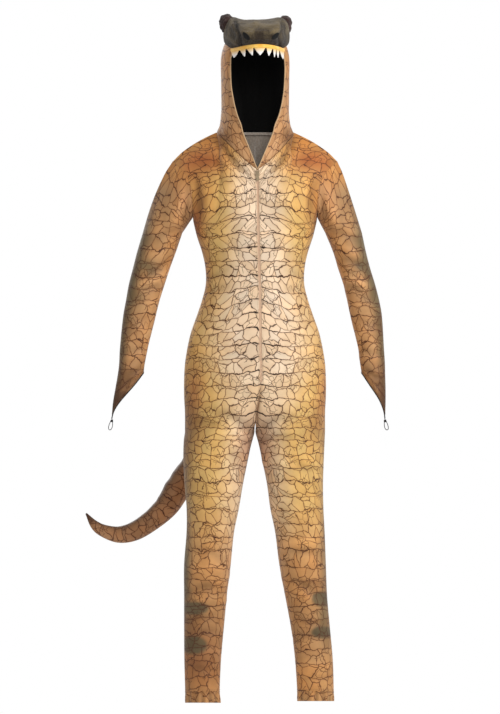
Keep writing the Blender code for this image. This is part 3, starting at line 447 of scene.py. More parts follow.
def wall_mesh(name, outer, inner, materials, ring=False, uv=None, ground=None):
    """A closed wall between two grids. On a ring the last column lies on the first."""
    rows, columns = outer.shape[:2]
    kept = columns - 1 if ring else columns
    points = np.concatenate([outer[:, :kept].reshape(-1, 3), inner[:, :kept].reshape(-1, 3)])
    faces, corners, kinds = [], [], []

    def index(layer, j, i):
        return layer * rows * kept + j * kept + i % kept

    def face(places, kind):
        faces.append([index(*p) for p in places])
        corners.extend((p[1], p[2]) for p in places)
        kinds.append(kind)

    for j in range(rows - 1):
        for i in range(columns - 1):
            quad = ((j, i), (j, i + 1), (j + 1, i + 1), (j + 1, i))
            face([(0, *p) for p in quad], 0)
            face([(1, *p) for p in quad[::-1]], 1)
    for j in (0, rows - 1):
        for i in range(columns - 1):
            face([(0, j, i), (1, j, i), (1, j, i + 1), (0, j, i + 1)], 0)
    if not ring:
        for i in (0, columns - 1):
            for j in range(rows - 1):
                face([(0, j, i), (0, j + 1, i), (1, j + 1, i), (1, j, i)], 0)
    mesh = bpy.data.meshes.new(name)
    mesh.from_pydata((points * MM).tolist(), [], faces)
    for material in materials:
        mesh.materials.append(material)
    if len(materials) > 1:
        mesh.polygons.foreach_set("material_index", np.array(kinds))
    if uv is not None:
        layer = mesh.uv_layers.new(name="Print")
        places = np.array([uv[j, i] for j, i in corners]) * MM
        layer.data.foreach_set("uv", places.ravel())
    if ground is not None:
        colours = mesh.attributes.new("Ground", "FLOAT_COLOR", "POINT")
        flat = np.concatenate([ground[:, :kept].reshape(-1, 4)] * 2)
        colours.data.foreach_set("color", flat.ravel())
    work = bmesh.new()
    work.from_mesh(mesh)
    bmesh.ops.recalc_face_normals(work, faces=work.faces)
    work.to_mesh(mesh)
    work.free()
    mesh.shade_smooth()
    mesh.set_sharp_from_angle(angle=math.radians(50))
    return placed(name, mesh)


def ringed_mesh(name, rings, material):
    """Rings of points, in millimetres, joined into a skin with a face at each end."""
    work = bmesh.new()
    loops = [[work.verts.new(place * MM) for place in ring] for ring in rings]
    for low, high in zip(loops, loops[1:]):
        for k in range(len(low)):
            after = (k + 1) % len(low)
            work.faces.new((low[k], low[after], high[after], high[k]))
    work.faces.new(loops[0])
    work.faces.new(loops[-1])
    bmesh.ops.recalc_face_normals(work, faces=work.faces)
    mesh = bpy.data.meshes.new(name)
    work.to_mesh(mesh)
    work.free()
    mesh.shade_smooth()
    mesh.materials.append(material)
    return placed(name, mesh)


def flat_area(grid):
    """Area of a grid of points, in square metres."""
    a, b, c, d = grid[:-1, :-1], grid[:-1, 1:], grid[1:, 1:], grid[1:, :-1]
    area = np.linalg.norm(np.cross(c - a, d - b), axis=2).sum() / 2
    return area * MM * MM


def as_sheet(piece, grid, tucked=0.0):
    """Record a cloth piece's cut, as wide and as long as its own widest row and longest column, and attach it
    to the garment.
    """
    width = run_of(grid, 1)[:, -1].max() * MM
    length = (run_of(grid, 0)[-1].max() + tucked) * MM
    area = flat_area(grid) + tucked * width * MM
    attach(piece, "garment")
    cuts[piece.name] = (round(width / MM), round(length / MM), round(area, 4))


cuts = {}
print("cloth is", WALL, "mm thick")

# %% [markdown]
# ## The body and the legs
# One half of the body, or one leg, is an egg-shaped section at each level. The tables give its edges and
# depths. Above the armpits the panel is a patch between the chest, the armhole, the shoulder and the
# neckline, and the neckline comes from the hood, because the two are sewn together.

# %% Sizes of the body, armhole and hood
SEAM_GAP = 0.3

# Levels of the body, measured up from the shoulder line
ANKLE_SEAM = -1362.0
CROTCH = -728.0
CROTCH_RISE = 92.0
ZIP_BOTTOM = -608.0
LAST_FLAT_SECTION = -247.0
CHEST_ROW = -233.0
ARMPIT = -205.0
NECK_FRONT = -84.0
NECK_SIDE = 6.0
SHOULDER_TIP = Vector((204.0, 4.0, -62.0))
SHOULDER_BULGE = 6.0
CHEST_BULGE = 24.0
BACK_BULGE = 14.0
ZIP_HALF_OPENING, TAPE_WIDTH, TAPE_GAP, TAPE_WALL = 3.5, 11.0, 0.9, 1.0
HEM_HEIGHT, HEM_GATHERS, GATHER_DEPTH = {-1: 29.0, 1: 25.0}, 14, 1.4
HOOD_TOP = 264.0
DOME_START = 170.0
HOOD_CENTRE_Y = 5.0
FACE_TOP = 222.0
SNOUT_TURN = 0.079

# Half widths and depths of the body from the crotch to the armpits
TORSO = Table(
    ("z", "outer", "front", "back", "zip_x"),
    (-728, 172, 96, 106, 1),
    (-680, 172, 100, 118, 6),
    (-640, 174, 103, 124, 12),
    (-600, 174, 105, 127, 15),
    (-561, 172, 106, 127, 15),
    (-522, 166, 106, 122, 14),
    (-483, 157, 105, 114, 13.5),
    (-443, 143, 101, 103, 13),
    (-404, 130, 96, 92, 12.7),
    (-365, 121, 93, 85, 12),
    (-325, 122, 97, 84, 11),
    (-287, 130, 104, 90, 10),
    (-247, 143, 110, 98, 9),
    (-205, 153, 112, 104, 8),
)

# Each leg's inner and outer edges and its depths
LEGS = Table(
    ("z", "right inner", "right outer", "left inner", "left outer", "front", "back"),
    (-1392, 84, 171, 104, 194, 43, 49),
    (-1365, 86, 171.5, 103, 193.5, 42, 48),
    (-1286, 83, 173.5, 98, 191, 43, 56),
    (-1208, 76, 174, 88, 184, 47, 64),
    (-1129, 68.6, 174, 73.5, 177, 54, 67),
    (-1051, 59, 174, 59, 174, 63, 66),
    (-973, 51, 168, 49, 171, 70, 74),
    (-914, 39, 168, 37, 168, 77, 82),
    (-855, 29, 173, 29, 167, 84, 90),
    (-796, 17, 176, 17, 169, 90, 98),
    (-750, 7, 175, 7, 171, 95, 103),
    (-728, 0, 172, 0, 172, 96, 106),
)

# The armhole, from the armpit (v = 0) to the shoulder tip (v = 1)
ARMHOLE = Table(
    ("v", "x", "front", "back", "z"),
    (0.0, 153, 0, 0, -205),
    (0.2, 153, -44, 46, -186),
    (0.4, 154, -60, 64, -155),
    (0.6, 159, -58, 64, -122),
    (0.8, 176, -38, 44, -90),
    (1.0, 204, 4, 4, -62),
)
ARMHOLE_CENTRE = Vector((172.0, 0.0, -135.0))

# Sections of the hood: half width, depths and how far its front is turned aside
HOOD = Table(
    ("z", "width", "front", "back", "turn"),
    (-84, 99, 109, 67, 6),
    (-45, 98, 102, 67, 7),
    (-20, 97, 96, 67, 7.5),
    (6, 95, 92, 67, 8),
    (24, 87, 93, 71, 8.5),
    (45, 84, 96, 80, 9.5),
    (92, 82, 104, 97, 11),
    (132, 83, 108, 103, 11),
    (171, 84, 110, 104, 11),
    (222, 84, 110, 104, 7),
    (264, 84, 110, 104, 2),
)

# Half width of the face opening
FACE = Table(
    ("z", "half"),
    (-84, 0.0),
    (-76, 5.0),
    (-51, 17.6),
    (-24, 31.0),
    (10, 46.0),
    (51, 57.0),
    (92, 63.0),
    (132, 66.0),
    (185, 66.0),
    (200, 61.0),
    (211, 50.0),
    (218, 33.0),
    (222, 0.0),
)

# Rows of the hood: the level at its front edge and at its back
HOOD_ROWS = Table(
    ("row", "front", "back"),
    (0, -84, 6),
    (1, -68, 12),
    (2, -46, 20),
    (3, -20, 32),
    (4, 12, 50),
    (5, 50, 76),
    (6, 92, 106),
    (7, 132, 138),
    (8, 168, 170),
    (9, 194, 194),
    (10, 211, 211),
    (11, 218, 218),
    (12, 222, 222),
    (13, 234, 234),
    (14, 246, 246),
    (15, 256, 256),
    (16, 262, 262),
    (17, 264, 264),
)
HOOD_ROW_COUNT = 17

print("legs are read from", len(LEGS.rows), "levels")

# %% Rules of the hood and the body
def hood_point(side, angle, z):
    """The hood's outer face: angle 0 is the front and 180 the back."""
    turn = math.radians(angle)
    round_in = clamp((z - DOME_START) / (HOOD_TOP - DOME_START), 0, 1)
    dome = max(1 - round_in ** 2.4, 0) ** (1 / 2.4)
    width = HOOD.at("width", z) * dome
    depth = HOOD.at("front" if math.cos(turn) > 0 else "back", z) * (0.35 + 0.65 * dome)
    aside = HOOD.at("turn", z) * max(0.0, math.cos(turn))
    return Vector((side * width * math.sin(turn) + aside, HOOD_CENTRE_Y - depth * math.cos(turn), z))


def hood_surface(side, u, row):
    """Rows climb from the neckline to the crown, and u runs from the face edge to the back seam."""
    front_z, back_z = HOOD_ROWS.at("front", row), HOOD_ROWS.at("back", row)
    start = 0.0
    if front_z < FACE_TOP:
        half = max(FACE.at("half", front_z), 0.0)
        start = math.degrees(math.asin(clamp(half / hood_point(1, 90, front_z).x, 0, 1)))
    angle = mix(start, 180, u)
    rise = math.sin(math.radians(clamp(angle, 0, 90))) ** 1.2
    return hood_point(side, angle, mix(front_z, back_z, rise))


def edges_of(table, side, z):
    """Inner and outer edge of one leg or sleeve at a level."""
    label = dict(SIDES)[side]
    return table.at(f"{label} inner", z), table.at(f"{label} outer", z)


def body_section(side, z):
    """Middle, half width and depths of one half of the body, or of one leg, at a level."""
    if z >= CROTCH:
        part_way = clamp(1 - (z - CROTCH) / CROTCH_RISE, 0, 1)
        outer = TORSO.at("outer", z)
        half = outer / (1 + part_way)
        return outer - half, half, TORSO.at("front", z), TORSO.at("back", z)
    inner, outer = edges_of(LEGS, side, z)
    return (inner + outer) / 2, (outer - inner) / 2, LEGS.at("front", z), LEGS.at("back", z)


def body_point(side, angle, z):
    """A point of the body's outer face: angle 0 is the front and 180 the back."""
    middle, half, front, back = body_section(side, z)
    turn = math.radians(angle)
    aside = TORSO.at("zip_x", z) if z >= CROTCH else 0.0
    aside *= max(0.0, math.cos(turn)) ** 2
    depth = front if math.cos(turn) > 0 else back
    return Vector((side * (middle + half * math.sin(turn)) + aside, -depth * math.cos(turn), z))


def seam_angle(side, z):
    """The angle of the middle seam, or of the inside leg seam, past the front."""
    middle, half, _, _ = body_section(side, z)
    return -math.degrees(math.asin(clamp(middle / half, 0, 1)))


def neck_point(side, angle):
    """The neckline, where the hood meets the body: angle 0 is the front and 180 the back."""
    rise = math.sin(math.radians(clamp(angle, 0, 90))) ** 1.2
    return hood_point(side, angle, mix(NECK_FRONT, NECK_SIDE, rise))


def on_side(side, place):
    """A place on the left, or its mirror image on the right."""
    return Vector((side * place.x, place.y, place.z))


def armhole_point(side, face, v):
    """The armhole's edge, from the armpit (v = 0) to the shoulder tip (v = 1)."""
    y = ARMHOLE.at("front" if face == "front" else "back", v)
    return Vector((side * ARMHOLE.at("x", v), y, ARMHOLE.at("z", v)))


def armhole_normal(side, point):
    """The direction from the armhole's middle to a point of its edge."""
    return (point - on_side(side, ARMHOLE_CENTRE)).normalized()


def panel_point(side, face, u, level):
    """A front or back panel: u runs from the middle seam to the side seam or armhole."""
    if level > CHEST_ROW:
        return chest_point(side, face, u, (level - CHEST_ROW) / (NECK_FRONT - CHEST_ROW))
    z = level
    if level > LAST_FLAT_SECTION:
        raised = mix(CHEST_ROW, ARMPIT, clamp(u, 0, 1.1) ** 6)
        z = mix(LAST_FLAT_SECTION, raised, (level - LAST_FLAT_SECTION) / (CHEST_ROW - LAST_FLAT_SECTION))
    start = seam_angle(side, z)
    angle = mix(start, 90, u)
    return body_point(side, angle if face == "front" else 180 - angle, z)


def chest_point(side, face, u, v):
    """The patch above the armpit, blended from its four edges: chest, neck, armhole, shoulder."""
    front = face == "front"

    def bottom(a):
        return panel_point(side, face, a, CHEST_ROW)

    def top(a):
        if a <= 0.5:
            return neck_point(side, 180 * a if front else 180 - 180 * a)
        k = (a - 0.5) / 0.5
        line = neck_point(side, 90).lerp(on_side(side, SHOULDER_TIP), k)
        line.z += SHOULDER_BULGE * math.sin(math.pi * k)
        return line

    def middle(b):
        line = bottom(0).lerp(top(0), b)
        line.y += math.sin(math.pi * b) * (-3.0 if front else BACK_BULGE)
        return line

    def outside(b):
        return armhole_point(side, face, b)

    corners = bottom(0) * (1 - u) * (1 - v) + bottom(1) * u * (1 - v)
    corners += top(0) * (1 - u) * v + top(1) * u * v
    point = bottom(u) * (1 - v) + top(u) * v + middle(v) * (1 - u) + outside(v) * u - corners
    bulge = math.sin(math.pi * clamp(u, 0, 1)) ** 2 * math.sin(math.pi * clamp(v, 0, 1))
    point.y += bulge * (-CHEST_BULGE if front else BACK_BULGE)
    return point


print("waist is", round(2 * TORSO.at("outer", -365)), "mm wide")

# %% [markdown]
# ## Colours of the body's print
# The print has soft zones: a pale belly that runs down to the inner thighs, golden flanks, orange
# shoulders, tan shins, and dark blotches on the outer calves. The back is plainer, with a grey-brown
# spine. Some patches are painted shade and shadow instead: at the armpits, down the middle above the
# crotch, on the inner thighs, at the folds of the neck and, in part, down the wearer's right leg. Every
# zone is a soft patch over the base colour, so the tables name where each one lies.

# %% Ground colours
GOLD = tint(232, 189, 116)
AMBER = tint(214, 148, 78)
CREAM = tint(246, 220, 190)
TAN = tint(204, 156, 106)
RUST = tint(180, 104, 54)
OLIVE = tint(112, 98, 70)
MOSS = tint(98, 86, 62)
SEPIA = tint(120, 84, 52)

BELLY = Table(
    ("z", "half", "strength"),
    (-1250, 20, 0.0), (-1120, 66, 0.15), (-1000, 84, 0.45), (-900, 84, 0.7), (-800, 76, 0.85),
    (-728, 70, 0.9), (-640, 92, 0.78), (-560, 118, 0.95), (-483, 122, 1.0), (-404, 104, 1.0),
    (-325, 84, 1.0), (-247, 72, 1.0), (-150, 64, 1.0), (-84, 44, 0.9),
)
BODY_PATCHES_AND_PAINTED_SHADE = (
    (110, -10, 60, 60, AMBER, 0.9),
    (132, -64, 60, 30, RUST, 0.9),
    (166, -84, 34, 40, RUST, 0.6),
    (134, -150, 26, 60, AMBER, 0.7),
    # Painted fold shade at the armpits
    (152, -215, 15, 70, RUST, 0.75),
    (132, -330, 14, 90, RUST, 0.4),
    (162, -640, 24, 90, RUST, 0.6),
    (150, -720, 34, 50, SEPIA, 0.35),
    # A painted shadow line down the middle, from the zip's end to the crotch
    (0, -676, 4, 60, SEPIA, 0.9),
    # Painted shade on the inner thighs below the crotch
    (16, -770, 26, 70, RUST, 0.45),
    (120, -1080, 70, 130, AMBER, 0.35),
    (178, -1000, 15, 260, OLIVE, 0.7),
    (110, -1190, 70, 90, SEPIA, 0.25),
    (120, -1340, 90, 50, AMBER, 0.45),
)
# The two legs are not alike, in part by print and in part by painted shade of the wearer's right leg: x is
# the garment's own here, below 0 on the wearer's right
LEG_PATCHES_AND_PAINTED_SHADE = (
    (-172, -760, 22, 160, SEPIA, 0.6),
    (-172, -1060, 14, 150, OLIVE, 0.8),
    (-140, -1290, 70, 90, tint(140, 88, 52), 0.7),
    (-156, -1200, 28, 50, SEPIA, 0.5),
    # A painted shadow by the knee of the wearer's left leg
    (150, -1098, 26, 12, SEPIA, 0.5),
    (168, -1180, 12, 60, OLIVE, 0.6),
)
BLOTCHES = (
    (-148, -1159, 34, 16, MOSS, 0.95),
    (-150, -1250, 32, 22, MOSS, 0.95),
    (161, -1137, 22, 18, MOSS, 0.9),
    (166, -1218, 27, 15, MOSS, 0.95),
)
# Painted shadow of the folds at the V of the neck, on the body and on the hood.
NECK_PAINTED_SHADOWS = (
    (82, -6, 20, 24, SEPIA, 0.7),
    (-74, -8, 20, 22, SEPIA, 0.5),
)
BACK_PATCHES = (
    (0, -300, 34, 520, OLIVE, 0.8),
    (62, -200, 44, 70, RUST, 0.45),
    (96, -470, 40, 60, SEPIA, 0.4),
    (120, -640, 46, 70, SEPIA, 0.4),
    (110, -900, 34, 60, RUST, 0.4),
)


def laid(ground, share, colour):
    """A colour laid over the ground colour, each point by its own share."""
    return ground * (1 - share[..., None]) + np.array(colour) * share[..., None]


def patched(ground, aside, z, patches, behind=None):
    """Soft patches of colour, or crisp ones that end where the leg turns to the back."""
    for x, level, wide, high, colour, strength in patches:
        near = np.exp(-((aside - x) / wide) ** 2 - ((z - level) / high) ** 2)
        share = strength * near * 1.15
        if behind is not None:
            share = strength * smooth(0.2, 0.5, near * np.exp(-(np.maximum(behind + 20, 0) / 30) ** 2))
        ground = laid(ground, np.clip(share, 0, 1), colour)
    return ground


def light_print(ground):
    """The ground colour of a piece whose print is nowhere heavy, so its fourth number is 0."""
    return np.concatenate([ground, np.zeros(ground.shape[:2] + (1,))], axis=2)


def painted_crease_shade(ground, lift):
    """Painted shade and highlight of the folds: troughs are a little darker and ridges a little paler."""
    ground = ground.copy()
    ground[..., :3] *= np.clip(1 + 0.07 * lift, 0.62, 1.12)[..., None]
    return ground


def body_ground(grid, face):
    """A panel's ground colour, and as a fourth number how heavy its print is."""
    z = grid[..., 2]
    middle = np.array([[TORSO.at("zip_x", max(level, CROTCH)) for level in row] for row in z[:, :1]])
    aside = np.abs(grid[..., 0] - middle * (z > CROTCH))
    ground = np.ones(z.shape + (3,)) * np.array(GOLD)
    lower = smooth(-860, -1060, z)
    ground = laid(ground, lower, TAN)
    if face == "front":
        half = np.array([BELLY.at("half", level) for level in z[:, 0]])[:, None]
        strength = np.array([BELLY.at("strength", level) for level in z[:, 0]])[:, None]
        pale = strength * smooth(1.4, 0.35, aside / half)
        ground = laid(ground, np.clip(pale, 0, 1), CREAM)
    else:
        ground = laid(ground, np.full(z.shape, 0.35), AMBER)
        ground = patched(ground, aside, z, BACK_PATCHES)
    ground = patched(ground, aside, z, BODY_PATCHES_AND_PAINTED_SHADE)
    # Leg patches: print, and painted shade of the wearer's right leg and by the left knee.
    ground = patched(ground, grid[..., 0], z, LEG_PATCHES_AND_PAINTED_SHADE)
    # Painted shadow of the neck folds.
    ground = patched(ground, grid[..., 0], z, NECK_PAINTED_SHADOWS)
    ground = patched(ground, grid[..., 0], z, BLOTCHES, behind=grid[..., 1])
    torso = smooth(-760, -690, z) * (1.0 if face == "front" else 0.4)
    heavy = np.clip(torso * np.exp(-(aside / 62) ** 2) * 0.95, 0, 1)
    return np.concatenate([ground, heavy[..., None]], axis=2)


def arched(grid, aside):
    """Way along the print: its rows rise towards the belly's middle like ribs, and follow the shoulder."""
    z = grid[..., 2]
    rib = 16 * np.exp(-((z + 430) / 120) ** 2) + 8 * np.exp(-((z + 670) / 60) ** 2)
    rib = rib + 5 * np.exp(-((z + 200) / 80) ** 2)
    rise = np.diff(run_of(grid, 0), axis=0) - np.abs(np.diff(z, axis=0))
    leaning = np.cumsum(rise * (z[1:] > CHEST_ROW), axis=0)
    leaning = np.concatenate([np.zeros((1, z.shape[1])), leaning])
    return z + leaning + rib * (1 - np.exp(-(aside / 60) ** 2))


print("body patches:", len(BODY_PATCHES_AND_PAINTED_SHADE), "front and", len(BACK_PATCHES), "back")

# %% [markdown]
# ## Fronts and backs
# Each panel is cut in one piece from neck to ankle. It is drawn with the pattern's own rule: u runs from
# the middle seam to the side seam and the level climbs the leg and the body. The creases are troughs and
# ridges placed where the photograph shows them, at the armpits, the crotch, the thighs and the knees,
# and like ones lie on the back. They fade out towards the side seams so that the panels still meet.

# %% Creases of the body
FRONT_CREASES = (
    # x0, z0, x1, z1, width, depth, bow
    (-150, -100, -138, -215, 12, -3.5, 6), (-128, -112, -118, -205, 10, 2.2, 4),
    (150, -100, 140, -215, 12, -3.2, -6), (130, -112, 122, -200, 9, 2.0, -4),
    (-20, -96, -86, -10, 9, -4.5, 6), (-44, -96, -104, -28, 10, 2.5, 4),
    (30, -96, 92, -10, 9, -4.0, -6), (52, -94, 108, -30, 10, 2.2, -4),
    (-70, -330, -118, -352, 9, -2.2, 3), (-64, -372, -116, -384, 8, -1.8, -2),
    (78, -336, 116, -350, 9, -2.0, 2), (70, -380, 112, -372, 8, -1.6, -2),
    (-10, -722, -112, -676, 12, -3.8, -8), (-14, -742, -92, -724, 9, 2.4, -4),
    (8, -722, 96, -690, 12, -3.6, 8), (12, -748, 104, -742, 10, -3.0, 6),
    (-30, -790, -70, -776, 8, -2.4, 3), (24, -800, 92, -812, 10, 2.4, 4),
    (100, -800, 150, -822, 9, -3.2, -5), (-150, -700, -88, -716, 12, -2.6, 4),
    (-78, -1040, -150, -1012, 10, -2.6, -5), (-74, -1062, -158, -1058, 9, 2.6, 4),
    (-82, -1112, -168, -1122, 10, -3.6, -9), (-76, -1140, -170, -1164, 9, 3.0, -8),
    (-92, -1174, -166, -1182, 8, -2.6, 5), (-84, -1216, -150, -1226, 9, -2.2, -4),
    (-90, -1262, -160, -1270, 9, 2.2, 4), (-96, -1312, -164, -1300, 8, -2.0, 3),
    (74, -1000, 160, -986, 10, 2.8, -7), (70, -1022, 166, -1030, 9, -3.0, 6),
    (88, -1090, 150, -1128, 10, -3.4, 6), (84, -1120, 172, -1160, 9, 2.6, 5),
    (98, -1186, 180, -1196, 8, -2.4, -4), (94, -1240, 172, -1224, 9, -2.2, 4),
    (106, -1292, 186, -1302, 8, 2.0, -3), (112, -1336, 180, -1330, 7, -1.8, 2),
)
BACK_CREASES = (
    (-148, -100, -136, -215, 12, -3.4, 5), (148, -100, 138, -215, 12, -3.4, -5),
    (-60, -338, -116, -356, 10, -2.6, 3), (66, -344, 114, -360, 10, -2.6, -3),
    (-24, -372, -96, -392, 9, 2.2, -3), (20, -380, 100, -386, 9, 2.2, 3),
    (-8, -716, -124, -700, 13, -4.0, 10), (8, -716, 124, -706, 13, -4.0, -10),
    (-20, -752, -110, -760, 10, 2.6, 5), (24, -758, 104, -752, 10, 2.6, -5),
    (-66, -1046, -160, -1052, 10, -3.4, 6), (-70, -1078, -156, -1092, 10, 3.0, 5),
    (-78, -1120, -160, -1112, 9, -3.0, -5), (66, -1040, 162, -1056, 10, -3.4, -6),
    (74, -1084, 158, -1076, 10, 2.8, 5), (82, -1128, 166, -1136, 9, -3.0, 5),
    (-90, -1220, -160, -1234, 9, -2.2, 4), (96, -1230, 172, -1218, 9, -2.2, -4),
    (-94, -1310, -160, -1300, 8, 2.0, 3), (110, -1310, 180, -1318, 8, 2.0, 3),
)
SEAM_SINK = 0.8
SEAM_REACH = 3.5
CROTCH_EASE = 70.0
CREASE_GAIN = 1.5
LEG_SHIFT, LEG_SHIFT_FROM, LEG_SHIFT_TO = 95.0, -760.0, -1010.0
END_FADE = 24.0
PANEL_COLUMN, PANEL_ROW = 1 / 34, 5.0
FACING_FROM_X, FACING_FROM_Z = 60.0, -110.0
CORNER_ROUND, CORNER_REACH = 3.4, 20.0
ALLOWANCE = 7.0
ALLOWANCE_DEPTH = 2.2


def seam_groove(grid, edges):
    """Sink the cloth a little along its seams, where the stitching pulls it in."""
    from_low = run_of(grid, 1)
    from_high = from_low[:, -1:] - from_low
    sink = np.zeros(grid.shape[:2])
    for near, wanted in zip((from_low, from_high), edges):
        if wanted:
            sink += SEAM_SINK * np.exp(-(near / SEAM_REACH) ** 2)
    return -sink


def rounded_corner(grid, side):
    """The shoulder's corner is drawn in and down a little, so that it is round as worn cloth."""
    tip = np.array(on_side(side, SHOULDER_TIP))
    near = np.exp(-(np.linalg.norm(grid - tip, axis=2) / CORNER_REACH) ** 2)
    return grid + CORNER_ROUND * near[..., None] * np.array((-0.7 * side, 0.0, -0.7))


def allowance(outer, normal, out, under):
    """Two more rows before a piece's first row: its seam allowance, turned in under its neighbour."""
    fold = outer[:1] - out * ALLOWANCE_DEPTH
    end = fold + under * ALLOWANCE - out * 0.5
    return np.concatenate([end, fold, outer]), np.concatenate([out, out, normal])


def faced_shoulder(piece):
    """The shoulders are faced inside with the same print."""
    for face in piece.data.polygons:
        if abs(face.center.x) > FACING_FROM_X * MM and face.center.z > FACING_FROM_Z * MM:
            face.material_index = 0


def make_panel(side, label, face):
    """One front or back from the neck to the ankle, creased, over its two solids."""
    us = spaced(0, 1, PANEL_COLUMN)
    levels = spaced(ANKLE_SEAM, NECK_FRONT, PANEL_ROW)
    grid = grid_of(lambda u, level: panel_point(side, face, u, level), us, levels)
    outward = side if face == "front" else -side
    normal = normals_of(grid, outward)
    table = FRONT_CREASES if face == "front" else BACK_CREASES
    far = smooth(1.0, 0.86, np.array(us))[None, :]
    lift = CREASE_GAIN * creases(grid, table) * far
    zipped = (np.array(levels) >= ZIP_BOTTOM) & (face == "front")
    top = smooth(NECK_FRONT, NECK_FRONT - END_FADE, np.array(levels))[:, None]
    low = smooth(ANKLE_SEAM, ANKLE_SEAM + END_FADE, np.array(levels))[:, None]
    lift = lift * top * low
    groove = seam_groove(grid, (True, True))
    groove[:, :8] *= smooth(0, CROTCH_EASE, np.abs(np.array(levels) - CROTCH))[:, None]
    groove[zipped, :4] = 0.0
    outer = grid + normal * (lift + groove)[..., None]
    back_off = np.where(zipped, ZIP_HALF_OPENING, 0.0)
    step = outer[:, 1] - outer[:, 0]
    step /= np.linalg.norm(step, axis=1, keepdims=True)
    outer[:, 0] += step * back_off[:, None]
    outer = rounded_corner(outer, side)
    across = run_of(grid, 1)
    from_side = across[:, -1:] - across
    if side == 1:
        from_side = from_side + LEG_SHIFT * smooth(LEG_SHIFT_FROM, LEG_SHIFT_TO, grid[..., 2])
    uv = np.stack([from_side if face == "front" else -from_side, arched(grid, np.abs(grid[..., 0]))], axis=2)
    # The ground colour carries painted shade in the crease troughs and painted highlight on the ridges.
    made = wall_mesh(f"{face}_{label}_cloth", outer, outer - normal * WALL,
                     (print_cloth, print_wrong_side), uv=uv, ground=painted_crease_shade(body_ground(grid, face), lift))
    faced_shoulder(made)
    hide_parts(f"{face}_{label}", f"leg_{face}_{label}")
    as_sheet(made, outer)
    return made


for side, label in SIDES:
    for face in ("front", "back"):
        panel = make_panel(side, label, face)
        print(panel.name, len(panel.data.polygons), "faces, cut", cuts[panel.name])

# %% Sizes and rule of the sleeves
LINING_WALL, FELT_WALL = 1.2, 2.0
SLEEVE_COLUMN, SLEEVE_ROW = 1 / 64, 0.05
# At the back of a sleeve its creases are moved by this much, and each trough becomes a ridge
BACK_OF_SLEEVE = (4.0, 0.0, 17.0)
SLEEVE_START = -240.0
WRIST = -575.0
WRIST_ROW = 1 + (SLEEVE_START - WRIST) / 100
COVER_LENGTH = 115.0
BINDING_WIDTH = 6.0
BINDING_ROW, BINDING_BULGE = 1 / 6, 0.7
LOOP_LENGTH = 26.0
LOOP_WIDTH = 11.0
LOOP_STEPS = 36
ELASTIC_RADIUS = 0.9
LOOP_SEAT = 0.6
KNOT_TURNS, KNOT_STEPS, KNOT_RADIUS, KNOT_STRAND = 3, 14, 2.5, 0.85
# Inner and outer edges, half depth and middle of each sleeve, down to the tip of the hand cover
SLEEVES = Table(
    ("z", "right inner", "right outer", "left inner", "left outer", "depth", "y"),
    (-700, 341, 352, 308, 319, 3.5, -23),
    (-690, 334, 351, 300, 319, 5.5, -23),
    (-655, 301, 348, 283, 320, 15, -22),
    (-620, 281, 342, 268, 320, 24, -20),
    (-585, 273, 336, 261, 319, 30, -17),
    (-561, 269.5, 333, 257, 318.5, 31, -15),
    (-522, 262, 331, 252, 316, 33, -12),
    (-443, 242.5, 323, 233, 311, 39, -7),
    (-404, 233, 316, 225, 304, 42, -5),
    (-365, 220.5, 309, 215.6, 294, 44, -3),
    (-326, 208, 299, 203, 282, 47, -1),
    (-287, 193.5, 289, 191, 272, 50, 0),
    (-240, 178, 275, 172, 262, 54, 0),
)
SLEEVE_CAP_BULGE = {-1: 7.0, 1: 1.0}


def sleeve_section(side, turn, z):
    """A point of the sleeve's oval section: turn 0 is its outer side, and a quarter turn its front."""
    inner, outer = edges_of(SLEEVES, side, z)
    middle, half = (inner + outer) / 2, (outer - inner) / 2
    y = SLEEVES.at("y", z) - SLEEVES.at("depth", z) * math.sin(turn)
    return Vector((side * (middle + half * math.cos(turn)), y, z))


def sleeve_point(side, u, row):
    """The sleeve: u runs round from the outside by the front, rows 0 to 1 are the cap.

    Past row 1 each row is 100 mm of sleeve, as far as the wrist. Then one row is the whole
    slanting hand cover, and one more is the binding below it.
    """
    turn = 2 * math.pi * u
    if row <= 1:
        part = u % 1.0
        face = "front" if part <= 0.5 else "back"
        v = 1 - 2 * part if part <= 0.5 else 2 * part - 1
        point = armhole_point(side, face, v).lerp(sleeve_section(side, turn, SLEEVE_START), row)
        bulge = SLEEVE_CAP_BULGE[side] * math.sin(math.pi * clamp(row, 0, 1))
        point.x += side * bulge * (0.5 + 0.5 * math.cos(turn))
        return point
    if row <= WRIST_ROW:
        return sleeve_section(side, turn, SLEEVE_START - (row - 1) * 100)
    slant = COVER_LENGTH * (0.04 + 0.96 * (0.5 + 0.5 * math.cos(turn)))
    down = slant * min(row - WRIST_ROW, 1) + BINDING_WIDTH * max(row - WRIST_ROW - 1, 0)
    return sleeve_section(side, turn, WRIST - down)


print("sleeves end", WRIST, "mm below the shoulders, before the hand cover")

# %% [markdown]
# ## Ankle hems
# Each leg ends in an elastic casing. The elastic draws the velour into small uneven gathers, tight at the
# stitching line above the casing and looser at the fold. The gathers are one wave round the ring whose
# height varies, so that no two are alike.

# %% Ankle hems
HEM_PRINT_STRETCH = 1.08
HEM_COLUMN, HEM_ROW = 1 / 168, 1 / 12
HEM_SHAPE = Table(
    ("part", "depth", "wider"),
    (0.0, 0.0, 0.0), (0.25, 1.0, -1.6), (0.6, 0.8, -0.6), (1.0, 1.0, -1.0),
)


def hem_point(side, u, part):
    """The casing: u runs round from the front, and part from the ankle seam to the fold."""
    angle = 360 * u
    turn = math.radians(angle)
    out = Vector((side * math.sin(turn), -math.cos(turn), 0))
    uneven = 1 + 0.35 * math.sin(5 * turn + 1.3) + 0.2 * math.sin(11 * turn + 0.4)
    wave = -math.cos(HEM_GATHERS * turn + 0.5 * math.sin(3 * turn))
    gather = GATHER_DEPTH * HEM_SHAPE.at("depth", part) * wave * uneven
    below = HEM_HEIGHT[side] * part
    return body_point(side, angle, ANKLE_SEAM - below) + out * (gather + HEM_SHAPE.at("wider", part))


